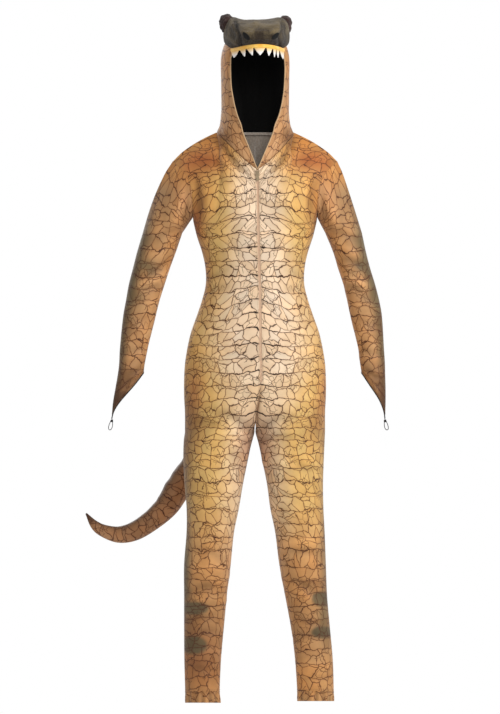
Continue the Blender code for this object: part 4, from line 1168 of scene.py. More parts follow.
def make_hem(side, label):
    """One gathered casing, with painted shade between its gathers."""
    us, parts = spaced(0, 1, HEM_COLUMN), spaced(0, 1, HEM_ROW)
    grid = grid_of(lambda u, part: hem_point(side, u, part), us, parts)
    normal = normals_of(grid, -side, ring=True)
    uv = np.stack([run_of(grid, 1) * HEM_PRINT_STRETCH, grid[..., 2]], axis=2)
    ground = patched(np.ones(grid.shape) * np.array(TAN), np.abs(grid[..., 0]), grid[..., 2], BODY_PATCHES_AND_PAINTED_SHADE)
    ground = patched(ground, grid[..., 0], grid[..., 2], LEG_PATCHES_AND_PAINTED_SHADE)
    ground = light_print(ground)
    # Painted shade: darker between the gathers, and a little darker all round the casing.
    gather = -np.cos(HEM_GATHERS * 2 * np.pi * np.array(us))[None, :] * np.array(parts)[:, None] ** 0.5
    made = wall_mesh(f"hem_{label}_cloth", grid, grid - normal * WALL, (print_cloth, print_wrong_side),
                     ring=True, uv=uv, ground=painted_crease_shade(ground, 3.0 * gather - 1.5))
    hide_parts(f"hem_{label}")
    as_sheet(made, grid)


for side, label in SIDES:
    make_hem(side, label)
print("hems cut", cuts["hem_right_cloth"], cuts["hem_left_cloth"])

# %% [markdown]
# ## Sleeves and hand covers
# A sleeve is set into the armhole and runs to a slanted edge, so that its outer side covers the back of
# the hand as far as a point. The velour wrinkles inside the elbow and bunches up above the slant. The
# seam lies on the inner side, so the print's own join is there too.

# %% Sleeve creases and colours
SLEEVE_CREASES = (
    # x0, z0, x1, z1, width, depth, bow: right sleeve first
    (-160, -120, -178, -232, 11, -3.0, 5), (-176, -112, -200, -220, 10, 2.4, 5),
    (-188, -236, -262, -262, 10, -2.6, -5), (-196, -272, -270, -300, 9, 2.6, 4),
    (-204, -300, -282, -352, 11, -3.6, 6), (-214, -334, -290, -372, 9, 2.8, 5),
    (-222, -376, -284, -384, 10, -3.0, -6), (-232, -402, -300, -424, 8, 2.2, 4),
    (-240, -440, -306, -452, 9, -2.0, 4), (-250, -486, -318, -476, 8, 1.8, -4),
    (-256, -512, -322, -532, 8, -2.4, 5), (-264, -540, -320, -548, 7, 2.0, -4),
    (-270, -562, -318, -588, 7, -2.8, 4), (-280, -572, -330, -560, 6, 2.2, 3),
    (-286, -600, -330, -612, 7, -2.2, -4), (-300, -628, -338, -620, 6, 1.8, 3),
    (-312, -604, -336, -668, 6, -2.0, 3),
    (160, -120, 176, -232, 11, -2.8, -5), (178, -112, 198, -222, 10, 2.2, -5),
    (186, -238, 250, -258, 10, -2.4, 5), (196, -262, 262, -300, 9, 2.8, -4),
    (204, -306, 270, -326, 10, -3.4, 5), (210, -340, 280, -370, 9, 2.6, -5),
    (220, -366, 268, -398, 10, -3.2, 5), (228, -412, 296, -418, 8, 2.0, -4),
    (236, -446, 300, -462, 9, -2.2, -4), (246, -492, 306, -484, 8, 1.8, 4),
    (252, -520, 306, -538, 8, -2.6, -5), (258, -552, 306, -546, 7, 2.0, 4),
    (266, -570, 308, -596, 7, -2.8, -4), (276, -596, 314, -580, 6, 2.0, 3),
    (284, -622, 316, -612, 6, -2.0, 3), (290, -606, 312, -664, 6, 2.2, -3),
)
SLEEVE_PATCHES = (
    (262, -322, 24, 20, OLIVE, 0.75),
    (232, -268, 24, 22, OLIVE, 0.3),
    (214, -190, 18, 60, OLIVE, 0.3),
    (176, -150, 26, 50, RUST, 0.2),
    (206, -300, 16, 60, AMBER, 0.3),
    (292, -400, 24, 30, OLIVE, 0.5),
    (300, -470, 20, 30, SEPIA, 0.4),
    (310, -590, 60, 40, SEPIA, 0.6),
    (330, -650, 50, 34, tint(90, 66, 48), 0.85),
    (330, -694, 34, 30, tint(40, 32, 26), 0.95),
)


def sleeve_ground(grid, side, normal):
    """A sleeve's ground colour: olive on its outer side and dark at the hand."""
    outside = 0.5 + 0.5 * normal[..., 0] * side
    ground = np.ones(grid.shape) * np.array(tint(206, 156, 106))
    narrow = 0.16 * smooth(-320, -160, grid[..., 2])
    ground = laid(ground, smooth(0, 1, (outside - 0.60 - narrow) / 0.34) * 0.95, OLIVE)
    ground = laid(ground, 0.7 * smooth(-150, -90, grid[..., 2]), AMBER)
    ground = laid(ground, 0.4 * smooth(-540, -620, grid[..., 2]), SEPIA)
    ground = patched(ground, np.abs(grid[..., 0]), grid[..., 2], SLEEVE_PATCHES)
    return light_print(ground)


def make_sleeve(side, label):
    """One sleeve with its hand cover. Its creases lie lower and turned over at the back."""
    us = spaced(0.5, 1.5, SLEEVE_COLUMN)
    rows = spaced(0, WRIST_ROW + 1, SLEEVE_ROW)
    grid = grid_of(lambda u, row: sleeve_point(side, u, row), us, rows)
    normal = normals_of(grid, side, ring=True)
    ends = smooth(0, 0.2, np.array(rows)) * smooth(WRIST_ROW + 1, WRIST_ROW + 0.85, np.array(rows))
    facing = np.clip(-normal[..., 1] * 1.4, 0, 1)
    behind = np.clip(normal[..., 1] * 1.4, 0, 1)
    moved = grid + np.array(BACK_OF_SLEEVE)
    lift = (creases(grid, SLEEVE_CREASES) * facing - creases(moved, SLEEVE_CREASES) * behind) * ends[:, None]
    lift *= CREASE_GAIN
    outer = grid + normal * (lift + seam_groove(grid, (True, True)))[..., None]
    outer[:, -1] = outer[:, 0]
    outer = rounded_corner(outer, side)
    radial = np.array([[tuple(armhole_normal(side, Vector(p))) for p in grid[0]]])
    outer, normal = allowance(outer, normal, radial, np.array((-side, 0.0, 0.0)))
    grid = np.concatenate([grid[:1], grid[:1], grid])
    lift = np.concatenate([lift[:1], lift[:1], lift])
    across = run_of(grid, 1)
    across = across - across[:, len(us) // 2:len(us) // 2 + 1]
    uv = np.stack([across, -run_of(outer, 0).mean(axis=1, keepdims=True) * np.ones(grid.shape[:2])], axis=2)
    # The ground colour carries painted shade in the crease troughs and painted highlight on the ridges.
    made = wall_mesh(f"sleeve_{label}_cloth", outer, outer - normal * WALL, (print_cloth, print_wrong_side),
                     ring=True, uv=uv, ground=painted_crease_shade(sleeve_ground(grid, side, normal), lift))
    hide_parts(f"sleeve_{label}")
    return made, outer


sleeves = {side: make_sleeve(side, label) for side, label in SIDES}
print("sleeves made:", [made.name for made, _ in sleeves.values()])

# %% [markdown]
# ## Black bindings and finger loops
# A narrow stretch binding finishes the slanted edge, and a loop of round elastic holds the point over the
# hand. The binding is a rounded fold over the edge, so its section bulges on both faces. The loop is a
# cord with both ends in the tip, and a few turns of the same elastic make the knot above it.

# %% Elastic and binding finish
recipe = Recipe("black_elastic", roughness=0.55, sheen=0.2)
fine = recipe.noise(recipe.place(), 900.0, 2.0).outputs["Fac"]
braid = recipe.node("ShaderNodeTexWave", {"Vector": recipe.place(), "Scale": 420.0, "Distortion": 1.5},
                    bands_direction="Z").outputs["Fac"]
recipe.bump(recipe.math("ADD", fine, braid), 0.5, 0.0003)
black_elastic = recipe.colour(recipe.blend(fine, tint(10, 9, 9), tint(28, 26, 25)))


def make_binding(side, label):
    """The binding below a sleeve's edge. It returns the place where the loop starts."""
    us = spaced(0.5, 1.5, SLEEVE_COLUMN)
    rows = spaced(WRIST_ROW + 1 + SEAM_GAP / BINDING_WIDTH, WRIST_ROW + 2, BINDING_ROW)
    grid = grid_of(lambda u, row: sleeve_point(side, u, row), us, rows)
    normal = normals_of(grid, side, ring=True)
    share = np.linspace(0, 1, len(rows))[:, None, None]
    bulge = BINDING_BULGE * np.sin(np.pi * share) ** 0.6
    outer = grid + normal * bulge
    inner = grid - normal * (WALL + bulge)
    made = wall_mesh(f"cuff_binding_{label}_cloth", outer, inner, (black_elastic,), ring=True)
    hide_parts(f"cuff_binding_{label}")
    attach(made, "garment")
    sleeve, sleeve_grid = sleeves[side]
    as_sheet(sleeve, sleeve_grid)
    edge = grid[-1]
    tip = Vector(edge[len(us) // 2]) + Vector(edge[len(us) // 2 - 5]) + Vector(edge[len(us) // 2 + 5])
    return Vector((tip.x / 3, tip.y / 3, edge[len(us) // 2][2] - LOOP_SEAT))


def loop_route(side, tip):
    """The loop's centre line: down one side, round, and back up to the tip."""
    route = []
    for i in range(LOOP_STEPS + 1):
        turn = 2 * math.pi * i / LOOP_STEPS
        spread = ELASTIC_RADIUS * 1.3 * math.cos(turn / 2)
        across = LOOP_WIDTH / 2 * math.sin(turn) * math.sin(turn / 2) ** 1.5 + spread
        down = LOOP_LENGTH * (0.5 - 0.5 * math.cos(turn))
        route.append(tip + Vector((side * across + side * 0.2 * down, 0, -down)))
    return route


def make_loop(side, label, tip):
    """The finger loop as a cord, with its knot. It returns the loop's length."""
    route = loop_route(side, tip)
    curve = bpy.data.curves.new(f"finger_loop_{label}_elastic", "CURVE")
    curve.dimensions = "3D"
    curve.bevel_depth = ELASTIC_RADIUS * MM
    curve.bevel_resolution = 3
    curve.use_fill_caps = True
    spline = curve.splines.new("POLY")
    spline.points.add(len(route) - 1)
    for knot, place in zip(spline.points, route):
        knot.co = (*(place * MM), 1.0)
    curve.materials.append(black_elastic)
    loop = placed(curve.name, curve)
    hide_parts(f"finger_loop_{label}")
    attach(loop, "garment")
    knot = make_knot(side, label, tip)
    length = sum((b - a).length for a, b in zip(route, route[1:])) * MM
    return length


def make_knot(side, label, tip):
    """Three turns of elastic round the top of the loop."""
    rings = []
    for n in range(KNOT_TURNS * KNOT_STEPS + 1):
        turn = 2 * math.pi * n / KNOT_STEPS
        middle = tip + Vector((side * 0.4, 0, -1.6 - 1.7 * n / KNOT_STEPS))
        out = Vector((math.cos(turn), math.sin(turn), 0))
        ring = []
        for k in range(6):
            around = 2 * math.pi * k / 6
            rise = Vector((0, 0, KNOT_STRAND * math.sin(around)))
            ring.append(middle + out * (KNOT_RADIUS + KNOT_STRAND * math.cos(around)) + rise)
        rings.append(ring)
    knot = ringed_mesh(f"loop_knot_{label}", rings, black_elastic)
    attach(knot, "garment")
    return knot


for side, label in SIDES:
    tip = make_binding(side, label)
    print("finger loop", label, "is", round(make_loop(side, label, tip) / MM, 1), "mm long")

# %% [markdown]
# ## Hood
# Two halves meet in a seam over the crown and down the back. The front edges make the long face opening
# and the V of the neck. Each half is the same rule as its solid: rows climb from the neckline to the
# crown, and u runs from the face edge to the back seam. A rolled hem runs round the opening.

# %% Hood halves
HOOD_CREASES = (
    (-52, -40, -88, 16, 7, -2.6, 4), (-38, -64, -72, -10, 6, 2.0, 3), (-82, 24, -96, -4, 6, -2.0, 2),
    (-70, 60, -80, 130, 8, 1.6, 3), (-72, 20, -84, 70, 7, -1.6, -3),
    (60, -40, 96, 16, 7, -2.6, -4), (46, -64, 80, -10, 6, 2.0, -3), (88, 24, 102, -4, 6, -2.0, -2),
    (76, 60, 84, 130, 8, 1.6, -3), (78, 20, 88, 70, 7, -1.6, 3),
)
EDGE_ROLL = 1.5
NECK_SINK, NECK_SINK_REACH = 1.4, 5.0
LAST_FACE_ROW = 11.9
HOOD_COLUMN, HOOD_ROW = 1 / 44, 0.15
PIPING = tint(232, 196, 150)


def hood_ground(grid, us):
    """The hood's ground colour: olive at its back seam and darker at the neck, by amber print and by painted
    shadow along the neck seam and the folds of the V.
    """
    z = grid[..., 2]
    ground = np.ones(grid.shape) * np.array(tint(206, 156, 108))
    ground = laid(ground, 0.7 * smooth(120, 190, z), AMBER)
    ground = laid(ground, 0.75 * smooth(20, -40, z) * smooth(0.25, 0.6, np.array(us))[None, :], AMBER)
    ground = laid(ground, 0.75 * smooth(0.72, 1.0, np.array(us))[None, :] * smooth(40, 90, z), OLIVE)
    # Painted shadow of the neck folds.
    ground = patched(ground, grid[..., 0], z, NECK_PAINTED_SHADOWS)
    # Painted shadow along the neckline seam, where the hood is sewn to the body.
    ground = laid(ground, 0.6 * np.exp(-(run_of(grid, 0) / 6.0) ** 2), SEPIA)
    return light_print(ground)


def make_hood_half(side, label):
    """One half of the hood and its lining. It returns the edge of the face opening."""
    us = spaced(0, 1, HOOD_COLUMN)
    rows = spaced(0, HOOD_ROW_COUNT, HOOD_ROW)
    grid = grid_of(lambda u, row: hood_surface(side, u, row), us, rows)
    normal = normals_of(grid, side)
    up = np.array((0.0, 0.0, 1.0))
    normal[-1] = up
    normal[:, -1, 0] = 0.0
    closed = grid[:, 0, 2] >= FACE_TOP - 1e-6
    normal[closed, 0, 0] = 0.0
    normal /= np.maximum(np.linalg.norm(normal, axis=2, keepdims=True), 1e-9)
    lift = creases(grid, HOOD_CREASES) * np.clip(-normal[..., 1] + 0.5, 0, 1)
    lift *= smooth(0, 1.0, np.array(rows))[:, None] * smooth(0, 0.1, np.array(us))[None, :]
    climb = run_of(grid, 0)
    lift -= NECK_SINK * np.exp(-(climb / NECK_SINK_REACH) ** 2)
    lift += seam_groove(grid, (False, True))
    outer = grid + normal * lift[..., None]
    make_lining(label, grid + normal * np.minimum(lift, 0)[..., None], normal)
    face_edge = [Vector(p) for p, row in zip(outer[:, 0], rows) if row < LAST_FACE_ROW]
    outer, normal = allowance(outer, normal, normal[:1], np.array((0.0, 0.0, -1.0)))
    grid = np.concatenate([grid[:1], grid[:1], grid])
    uv = np.stack([run_of(grid, 1), outer[..., 2]], axis=2)
    made = wall_mesh(f"hood_{label}_cloth", outer, outer - normal * WALL, (print_cloth, print_wrong_side),
                     uv=uv, ground=hood_ground(grid, us))
    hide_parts(f"hood_{label}")
    as_sheet(made, outer)
    return face_edge


# %% [markdown]
# ## Lining and face edge
# Black jersey lines the hood and swallows the light, so the opening reads as a dark mouth. It lies just
# inside the hood, with a few loose ripples. The rolled hem is a thin tube of a paler stretch tape.

# %% Lining and face edge
LINING_FOLDS = (
    (-40, 150, -30, 20, 9, -2.0, 4), (-12, 180, -8, 30, 10, -1.6, -3), (18, 170, 22, 24, 9, -2.2, 3),
    (46, 150, 40, 20, 9, -1.8, -3), (0, 60, 30, 40, 8, -1.4, 3),
)
recipe = Recipe("black_lining", roughness=0.85, sheen=0.08)
knit = recipe.noise(recipe.place(), 700.0, 3.0).outputs["Fac"]
hanging = recipe.vector_math("MULTIPLY", recipe.place(), (60.0, 60.0, 4.0))
streak = recipe.noise(hanging, 1.0, 2.0).outputs["Fac"]
recipe.bump(knit, 0.4, 0.0003)
black_lining = recipe.colour(recipe.blend(streak, tint(7, 6, 6), tint(22, 20, 18)))
recipe = Recipe("face_edge_tape", roughness=0.7, sheen=0.2)
knit = recipe.noise(recipe.place(), 800.0, 2.0).outputs["Fac"]
recipe.bump(knit, 0.4, 0.0003)
edge_tape = recipe.colour(recipe.blend(knit, PIPING, tint(196, 148, 100)))


def make_lining(label, grid, normal):
    """One half of the lining, just inside its half of the hood."""
    lift = creases(grid, LINING_FOLDS) * np.clip(normal[..., 1], 0, 1)
    lift *= smooth(0, 25, run_of(grid, 0))
    outer = grid + normal * (lift - WALL - SEAM_GAP)[..., None]
    made = wall_mesh(f"hood_lining_{label}_cloth", outer, outer - normal * LINING_WALL, (black_lining,))
    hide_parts(f"hood_lining_{label}")
    as_sheet(made, outer)


def tube_mesh(name, route, radius, material, sides=8):
    """A closed tube along a list of points in millimetres."""
    rings = []
    for n, place in enumerate(route):
        along = (route[min(n + 1, len(route) - 1)] - route[max(n - 1, 0)]).normalized()
        first = along.cross(Vector((0, 1, 0.02))).normalized()
        second = along.cross(first)
        turns = [2 * math.pi * k / sides for k in range(sides)]
        rings.append([place + (first * math.cos(t) + second * math.sin(t)) * radius for t in turns])
    return ringed_mesh(name, rings, material)


for side, label in SIDES:
    edge = make_hood_half(side, label)
    hem = tube_mesh(f"face_edge_{label}", edge, EDGE_ROLL, edge_tape)
    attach(hem, "garment")
    print("hood half", label, "cut", cuts[f"hood_{label}_cloth"])

# %% Sizes and rules of the snout, gums and teeth
# The stuffed crown and snout, in slices from front to back
SNOUT = Table(
    ("y", "half", "low", "high"),
    (-186, 24, 232, 250),
    (-181, 35, 228, 255),
    (-168, 48, 223, 262),
    (-140, 60, 215, 270),
    (-110, 70, 209, 277),
    (-80, 78, 206, 281),
    (-45, 82, 208, 283),
    (-15, 78, 220, 283),
    (15, 66, 236, 280),
    (40, 45, 250, 270),
)
SNOUT_ROUNDNESS = 2 / 3.2
SNOUT_MIDDLE = 0.45

# The rim of the mouth, and the teeth along it: edges, tip and length
RIM = Table(("across", "y"), (-66, -80), (-52, -125), (-36, -154), (-18, -168), (0, -172),
            (18, -168), (36, -154), (52, -125), (66, -80))
RIM_END = 66.0
GUM_HEIGHT = 9.5
GUM_DROP = 1.1
GUM_COLUMN, GUM_ROW = 1.6, 0.8
TOOTH_COLUMN, TOOTH_ROW = 1 / 10, 1 / 14
# How far the felt swells in the middle of the gum strip and of a tooth
FELT_SWELL = 0.8
# The cut of the gum strip has this much more, turned in under the plush and not built
GUM_TUCK = 3.0
TEETH = (
    {"start": -66.0, "end": -50.0, "tip": -60.0, "length": 15.0},
    {"start": -50.0, "end": -36.0, "tip": -38.0, "length": 18.0},
    {"start": -36.0, "end": -18.0, "tip": -20.0, "length": 18.0},
    {"start": -18.0, "end": 14.5, "tip": -1.0, "length": 19.0},
    {"start": 14.5, "end": 32.0, "tip": 21.0, "length": 19.0},
    {"start": 32.0, "end": 41.0, "tip": 36.0, "length": 20.0},
    {"start": 41.0, "end": 50.0, "tip": 46.0, "length": 19.0},
    {"start": 50.0, "end": 66.0, "tip": 62.0, "length": 18.0},
)


def snout_under(across, y):
    """Level of the snout's underside above a point of the mouth's rim."""
    half, low, high = SNOUT.at("half", y), SNOUT.at("low", y), SNOUT.at("high", y)
    middle = mix(low, high, SNOUT_MIDDLE)
    power = 2 / SNOUT_ROUNDNESS
    share = clamp(abs(across) / half, 0, 0.999)
    return middle - (middle - low) * (1 - share ** power) ** (1 / power)


def rim_point(across, below):
    """A point of the mouth's rim, so far below the snout's underside."""
    y = RIM.at("y", across)
    return Vector((across - SNOUT_TURN * y, y, snout_under(across, y) - SEAM_GAP - below))


def rim_normal(across):
    """The direction out of the mouth's rim, on the level."""
    along = rim_point(across + 0.5, 0) - rim_point(across - 0.5, 0)
    return Vector((along.y, -along.x, 0)).normalized()


print("the snout is", round(2 * SNOUT.at("half", -45)), "mm wide")

# %% [markdown]
# ## Stuffed plush head
# The crown and snout are stuffed forms of short grey-brown plush. A fine skin is laid over each solid:
# the solid's own mesh is copied, welded and remeshed in small even cells, smoothed as a stuffed cover
# is, and then its surface is pushed in and out by soft noise where the filling lies unevenly. The brow
# bumps are made the same way and droop a little, and the nostrils are slanting slits.

# %% Plush finish
from mathutils import noise as soft_noise


def plush(name, light, dark, deep):
    """Short plush: patchy, darker low down, with painted shade in its tucks and painted highlight on their
    ridges.
    """
    recipe = Recipe(name, roughness=0.9, sheen=0.12, sheen_roughness=0.35)
    place = recipe.place()
    patch = recipe.ramp(recipe.noise(place, 44.0, 3.0, 0.6).outputs["Fac"], 0.38, 0.62)
    pile = recipe.ramp(recipe.noise(place, 240.0, 3.0, 0.65).outputs["Fac"], 0.3, 0.7)
    height = recipe.node("ShaderNodeSeparateXYZ", {0: place}).outputs["Z"]
    low = recipe.ramp(height, 0.256, 0.226, 0.0, 0.75)
    colour = recipe.blend(patch, light, dark)
    colour = recipe.blend(recipe.math("MULTIPLY", pile, 0.6), colour, deep)
    colour = recipe.blend(low, colour, deep)
    # Painted shade in the tucks and painted highlight on their ridges, from the tuck depths kept on the skin.
    tuck_shade = recipe.node("ShaderNodeAttribute", attribute_name="TuckShade", attribute_type="GEOMETRY").outputs["Fac"]
    colour = recipe.blend(recipe.ramp(tuck_shade, 0.0, -5.0, 0.0, 0.8), colour, deep)
    colour = recipe.blend(recipe.ramp(tuck_shade, 0.0, 5.0, 0.0, 0.7), colour, light)
    recipe.bump(pile, 1.0, 0.0024)
    return recipe.colour(colour)


brown_plush = plush("brown_plush", tint(146, 128, 96), tint(88, 74, 56), tint(40, 33, 30))
brow_plush = plush("brow_plush", tint(98, 74, 68), tint(66, 48, 46), tint(38, 28, 28))
print("plush finishes:", brown_plush.name, brow_plush.name)


# %% Stuffed skins over the solids
def skin_of(node, name, cell, smoothing, material):
    """A finely meshed copy of a CAD node's solid."""
    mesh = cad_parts[node].data.copy()
    work = bmesh.new()
    work.from_mesh(mesh)
    bmesh.ops.remove_doubles(work, verts=work.verts, dist=0.00001)
    work.to_mesh(mesh)
    work.free()
    rough = placed(name, mesh)
    remesh = rough.modifiers.new("Remesh", "REMESH")
    remesh.mode = "VOXEL"
    remesh.voxel_size = cell * MM
    ease = rough.modifiers.new("Ease", "SMOOTH")
    ease.factor = 0.6
    ease.iterations = smoothing
    fine = rough.modifiers.new("Fine", "SUBSURF")
    fine.levels = fine.render_levels = 1
    evaluated = rough.evaluated_get(bpy.context.evaluated_depsgraph_get())
    finished = bpy.data.meshes.new_from_object(evaluated)
    finished.name = name
    rough.modifiers.clear()
    rough.data = finished
    finished.materials.clear()
    finished.materials.append(material)
    finished.shade_smooth()
    return rough


def pushed(piece, amount):
    """Move every point of a piece along its normal by what amount says, in millimetres."""
    mesh = piece.data
    count = len(mesh.vertices)
    points, normals = np.zeros(count * 3), np.zeros(count * 3)
    mesh.vertices.foreach_get("co", points)
    mesh.vertex_normals.foreach_get("vector", normals)
    points, normals = points.reshape(-1, 3), normals.reshape(-1, 3)
    lift = np.array([amount(Vector(p) / MM, Vector(n)) for p, n in zip(points, normals)])
    mesh.vertices.foreach_set("co", (points + normals * lift[:, None] * MM).ravel())
    mesh.update()
    return piece


def padding(scale, height):
    """Uneven filling: slow soft noise of that scale and height in millimetres."""
    return lambda place: height * soft_noise.noise(place / scale)


SNOUT_TUCKS = (
    # from, to, width, depth: seams and tucks of the snout's cover, in the front view
    ((-46, 272), (-34, 216), 5.0, -6.0), ((62, 268), (60, 216), 4.5, -4.5), ((-30, 262), (0, 270), 7.0, 3.5),
    ((0, 270), (52, 262), 7.0, 4.0), ((-34, 252), (-10, 250), 4.5, 3.2), ((38, 250), (60, 254), 4.5, 3.2),
    ((-8, 246), (34, 246), 7.0, -2.4), ((-60, 262), (-50, 240), 5.0, -3.0),
    ((-66, 240), (-48, 226), 6.0, 2.4), ((70, 262), (78, 236), 5.0, -2.6),
    ((-30, 230), (54, 230), 5.0, -1.8),
)
BROW_RAISE, BROW_RAISE_AT, BROW_RAISE_REACH = 12.0, (-56.0, 66.0), (16.0, 24.0)
BUMP_STRETCH = 1.4
SNOUT_PADDING, BUMP_PADDING = (22.0, 1.3), (8.0, 2.6)
NOSTRIL_SLANT = {-1: -48.0, 1: 38.0}
NOSTRIL_LONG, NOSTRIL_NARROW = 1.3, 0.62


def tucks(place):
    """How far the tucks of the snout's cover lift (+) or sink (-) a place."""
    lift = 0.0
    for (x0, z0), (x1, z1), width, depth in SNOUT_TUCKS:
        span = Vector((x1 - x0, z1 - z0))
        offset = Vector((place.x - x0, place.z - z0))
        t = clamp(offset.dot(span) / span.length_squared, 0.0, 1.0)
        away = (offset - span * t).length
        lift += depth * math.exp(-(away / width) ** 2)
    return lift


def brow_raise(place, normal):
    """The crown rises towards each brow bump."""
    near = sum(math.exp(-((place.x - x) / reach) ** 2) for x, reach in zip(BROW_RAISE_AT, BROW_RAISE_REACH))
    return BROW_RAISE * near * max(0.0, normal.z) ** 2


def snout_lift(place, normal):
    """Tucks on the snout's front, rises at the brow bumps and uneven filling all over."""
    front = clamp((-place.y - 60) / 60, 0.0, 1.0)
    soft = padding(*SNOUT_PADDING)(place) * min(1.0, abs(normal.y) + abs(normal.z))
    return tucks(place) * front + brow_raise(place, normal) + soft


def reshaped(piece, rule):
    """Move every point of a piece to where the rule puts it, from its place relative to the middle."""
    points = [vertex.co.copy() for vertex in piece.data.vertices]
    middle = sum(points, Vector()) / len(points)
    for vertex, place in zip(piece.data.vertices, points):
        vertex.co = middle + rule(place - middle)
    piece.data.update()
    return piece


def drooped(offset):
    """The lower half of a brow bump is drawn down, as its cover is pulled towards the cheek."""
    return Vector((offset.x, offset.y, offset.z * (BUMP_STRETCH if offset.z < 0 else 1.0)))


def slanted(side):
    """A nostril is a slanting slit, longer than it is wide."""
    turn = math.radians(NOSTRIL_SLANT[side])
    way = Vector((math.cos(turn), 0, math.sin(turn)))
    across = Vector((-way.z, 0, way.x))

    def rule(offset):
        long, narrow = offset.dot(way) * NOSTRIL_LONG, offset.dot(across) * NOSTRIL_NARROW
        return way * long + across * narrow + Vector((0, offset.y, 0))

    return rule


snout_skin = skin_of("snout", "snout_plush", 4.0, 6, brown_plush)
# The tucks' depths are kept on the skin for the plush's painted shade and highlight.
tuck_shade = snout_skin.data.attributes.new("TuckShade", "FLOAT", "POINT")
front_tuck_shade = [tucks(v.co / MM) if v.co.y < -60 * MM else 0.0 for v in snout_skin.data.vertices]
tuck_shade.data.foreach_set("value", front_tuck_shade)
pushed(snout_skin, snout_lift)
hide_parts("snout")
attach(snout_skin, "garment")
for side, label in SIDES:
    bump = skin_of(f"brow_bump_{label}", f"brow_bump_{label}_plush", 2.5, 3, brow_plush)
    pushed(reshaped(bump, drooped), lambda place, normal: padding(*BUMP_PADDING)(place))
    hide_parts(f"brow_bump_{label}")
    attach(bump, "garment")
    nostril = skin_of(f"nostril_{label}", f"nostril_{label}_plush", 0.7, 1, brow_plush)
    nostril.data.materials[0] = black_lining
    reshaped(nostril, slanted(side))
    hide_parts(f"nostril_{label}")
    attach(nostril, "garment")
print("snout skin has", len(snout_skin.data.polygons), "faces")

# %% [markdown]
# ## Gums and teeth
# The upper jaw is edged with a strip of yellow felt, and the teeth are white felt points sewn under it.
# The felt is airbrushed from orange at the gum to white at the tips, so the colour follows how far down
# a point lies. Each tooth is a small pillow: its wall bulges in the middle and thins at its edges.

# %% Felt gums and teeth
recipe = Recipe("gum_felt", roughness=0.85, sheen=0.25)
place = recipe.place()
fibre = recipe.noise(place, 420.0, 3.0, 0.6).outputs["Fac"]
stain = recipe.ramp(recipe.noise(place, 45.0, 2.0).outputs["Fac"], 0.35, 0.65)
recipe.bump(fibre, 0.7, 0.0006)
gum = recipe.blend(stain, tint(255, 206, 100, 1.2), tint(250, 172, 44, 1.2))
gum_felt = recipe.colour(recipe.blend(recipe.math("MULTIPLY", fibre, 0.3), gum, tint(255, 228, 150, 1.2)))
recipe = Recipe("tooth_felt", roughness=0.85, sheen=0.25)
down = recipe.node("ShaderNodeUVMap", uv_map="Print").outputs[0]
down = recipe.node("ShaderNodeSeparateXYZ", {0: down}).outputs["Y"]
fibre = recipe.noise(recipe.place(), 420.0, 3.0, 0.6).outputs["Fac"]
recipe.bump(fibre, 0.6, 0.0005)
ragged = recipe.math("ADD", down, recipe.math("MULTIPLY", fibre, 0.0035))
spray = recipe.ramp(ragged, 0.0015, 0.0135, 1.0, 0.0)
root = recipe.blend(spray, tint(252, 248, 244, 1.25), tint(252, 196, 90, 1.25))
tooth_felt = recipe.colour(recipe.blend(recipe.math("MULTIPLY", fibre, 0.12), root, tint(226, 218, 208)))


def make_gum():
    """The felt strip along the mouth's rim."""
    us, rows = spaced(-RIM_END, RIM_END, GUM_COLUMN), spaced(GUM_HEIGHT, GUM_DROP, GUM_ROW)
    grid = grid_of(rim_point, us, rows)
    normal = np.array([[tuple(rim_normal(a)) for a in us] for _ in rows])
    share = np.linspace(0, 1, len(rows))[:, None]
    bulge = FELT_SWELL * np.sin(np.pi * share) ** 0.7 * (1 + 0.3 * np.sin(np.array(us) / 5.0))[None, :]
    outer = grid + normal * bulge[..., None]
    made = wall_mesh("gum_strip_felt", outer, grid - normal * FELT_WALL, (gum_felt,))
    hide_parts("gum_strip")
    as_sheet(made, outer, tucked=GUM_TUCK)


def tooth_point(tooth, u, share):
    """u runs across the tooth, and share from its root to its tip, on sides that bow a little."""
    bow = 0.3 * math.sin(math.pi * share)
    start = mix(tooth["start"] + SEAM_GAP, tooth["tip"] - 0.4, share) - bow * min(1, share * 4)
    end = mix(tooth["end"] - SEAM_GAP, tooth["tip"] + 0.4, share) + bow * min(1, share * 4)
    across = clamp(mix(start, end, u), tooth["start"] + SEAM_GAP, tooth["end"] - SEAM_GAP)
    low_edge = GUM_HEIGHT + SEAM_GAP
    top = rim_point(across, low_edge)
    level = snout_under(tooth["tip"], RIM.at("y", tooth["tip"]))
    bottom = level - low_edge - tooth["length"] * share
    return Vector((top.x, top.y, mix(top.z, bottom, min(share * 2, 1))))


def make_tooth(number, tooth):
    """One felt tooth below the gum strip."""
    us, shares = spaced(0, 1, TOOTH_COLUMN), spaced(0, 1, TOOTH_ROW)
    grid = grid_of(lambda u, share: tooth_point(tooth, u, share), us, shares)
    middle = rim_normal((tooth["start"] + tooth["end"]) / 2)
    normal = np.ones(grid.shape) * np.array(tuple(middle))
    down = np.sin(np.pi * (0.1 + 0.85 * np.array(shares)))[:, None]
    pillow = np.sin(np.pi * np.array(us))[None, :] ** 0.6 * down
    outer = grid + normal * (FELT_SWELL * pillow)[..., None]
    inner = grid - normal * (FELT_WALL - 0.7 + 0.7 * pillow)[..., None]
    drop = grid[0, :, 2][None, :] - grid[..., 2]
    uv = np.stack([grid[..., 0], drop], axis=2)
    made = wall_mesh(f"tooth_{number}_felt", outer, inner, (tooth_felt,), uv=uv)
    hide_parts(f"tooth_{number}")
    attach(made, "garment")


make_gum()
for number, tooth in enumerate(TEETH, start=1):
    make_tooth(number, tooth)
print("teeth:", len(TEETH), "gum cut", cuts["gum_strip_felt"])

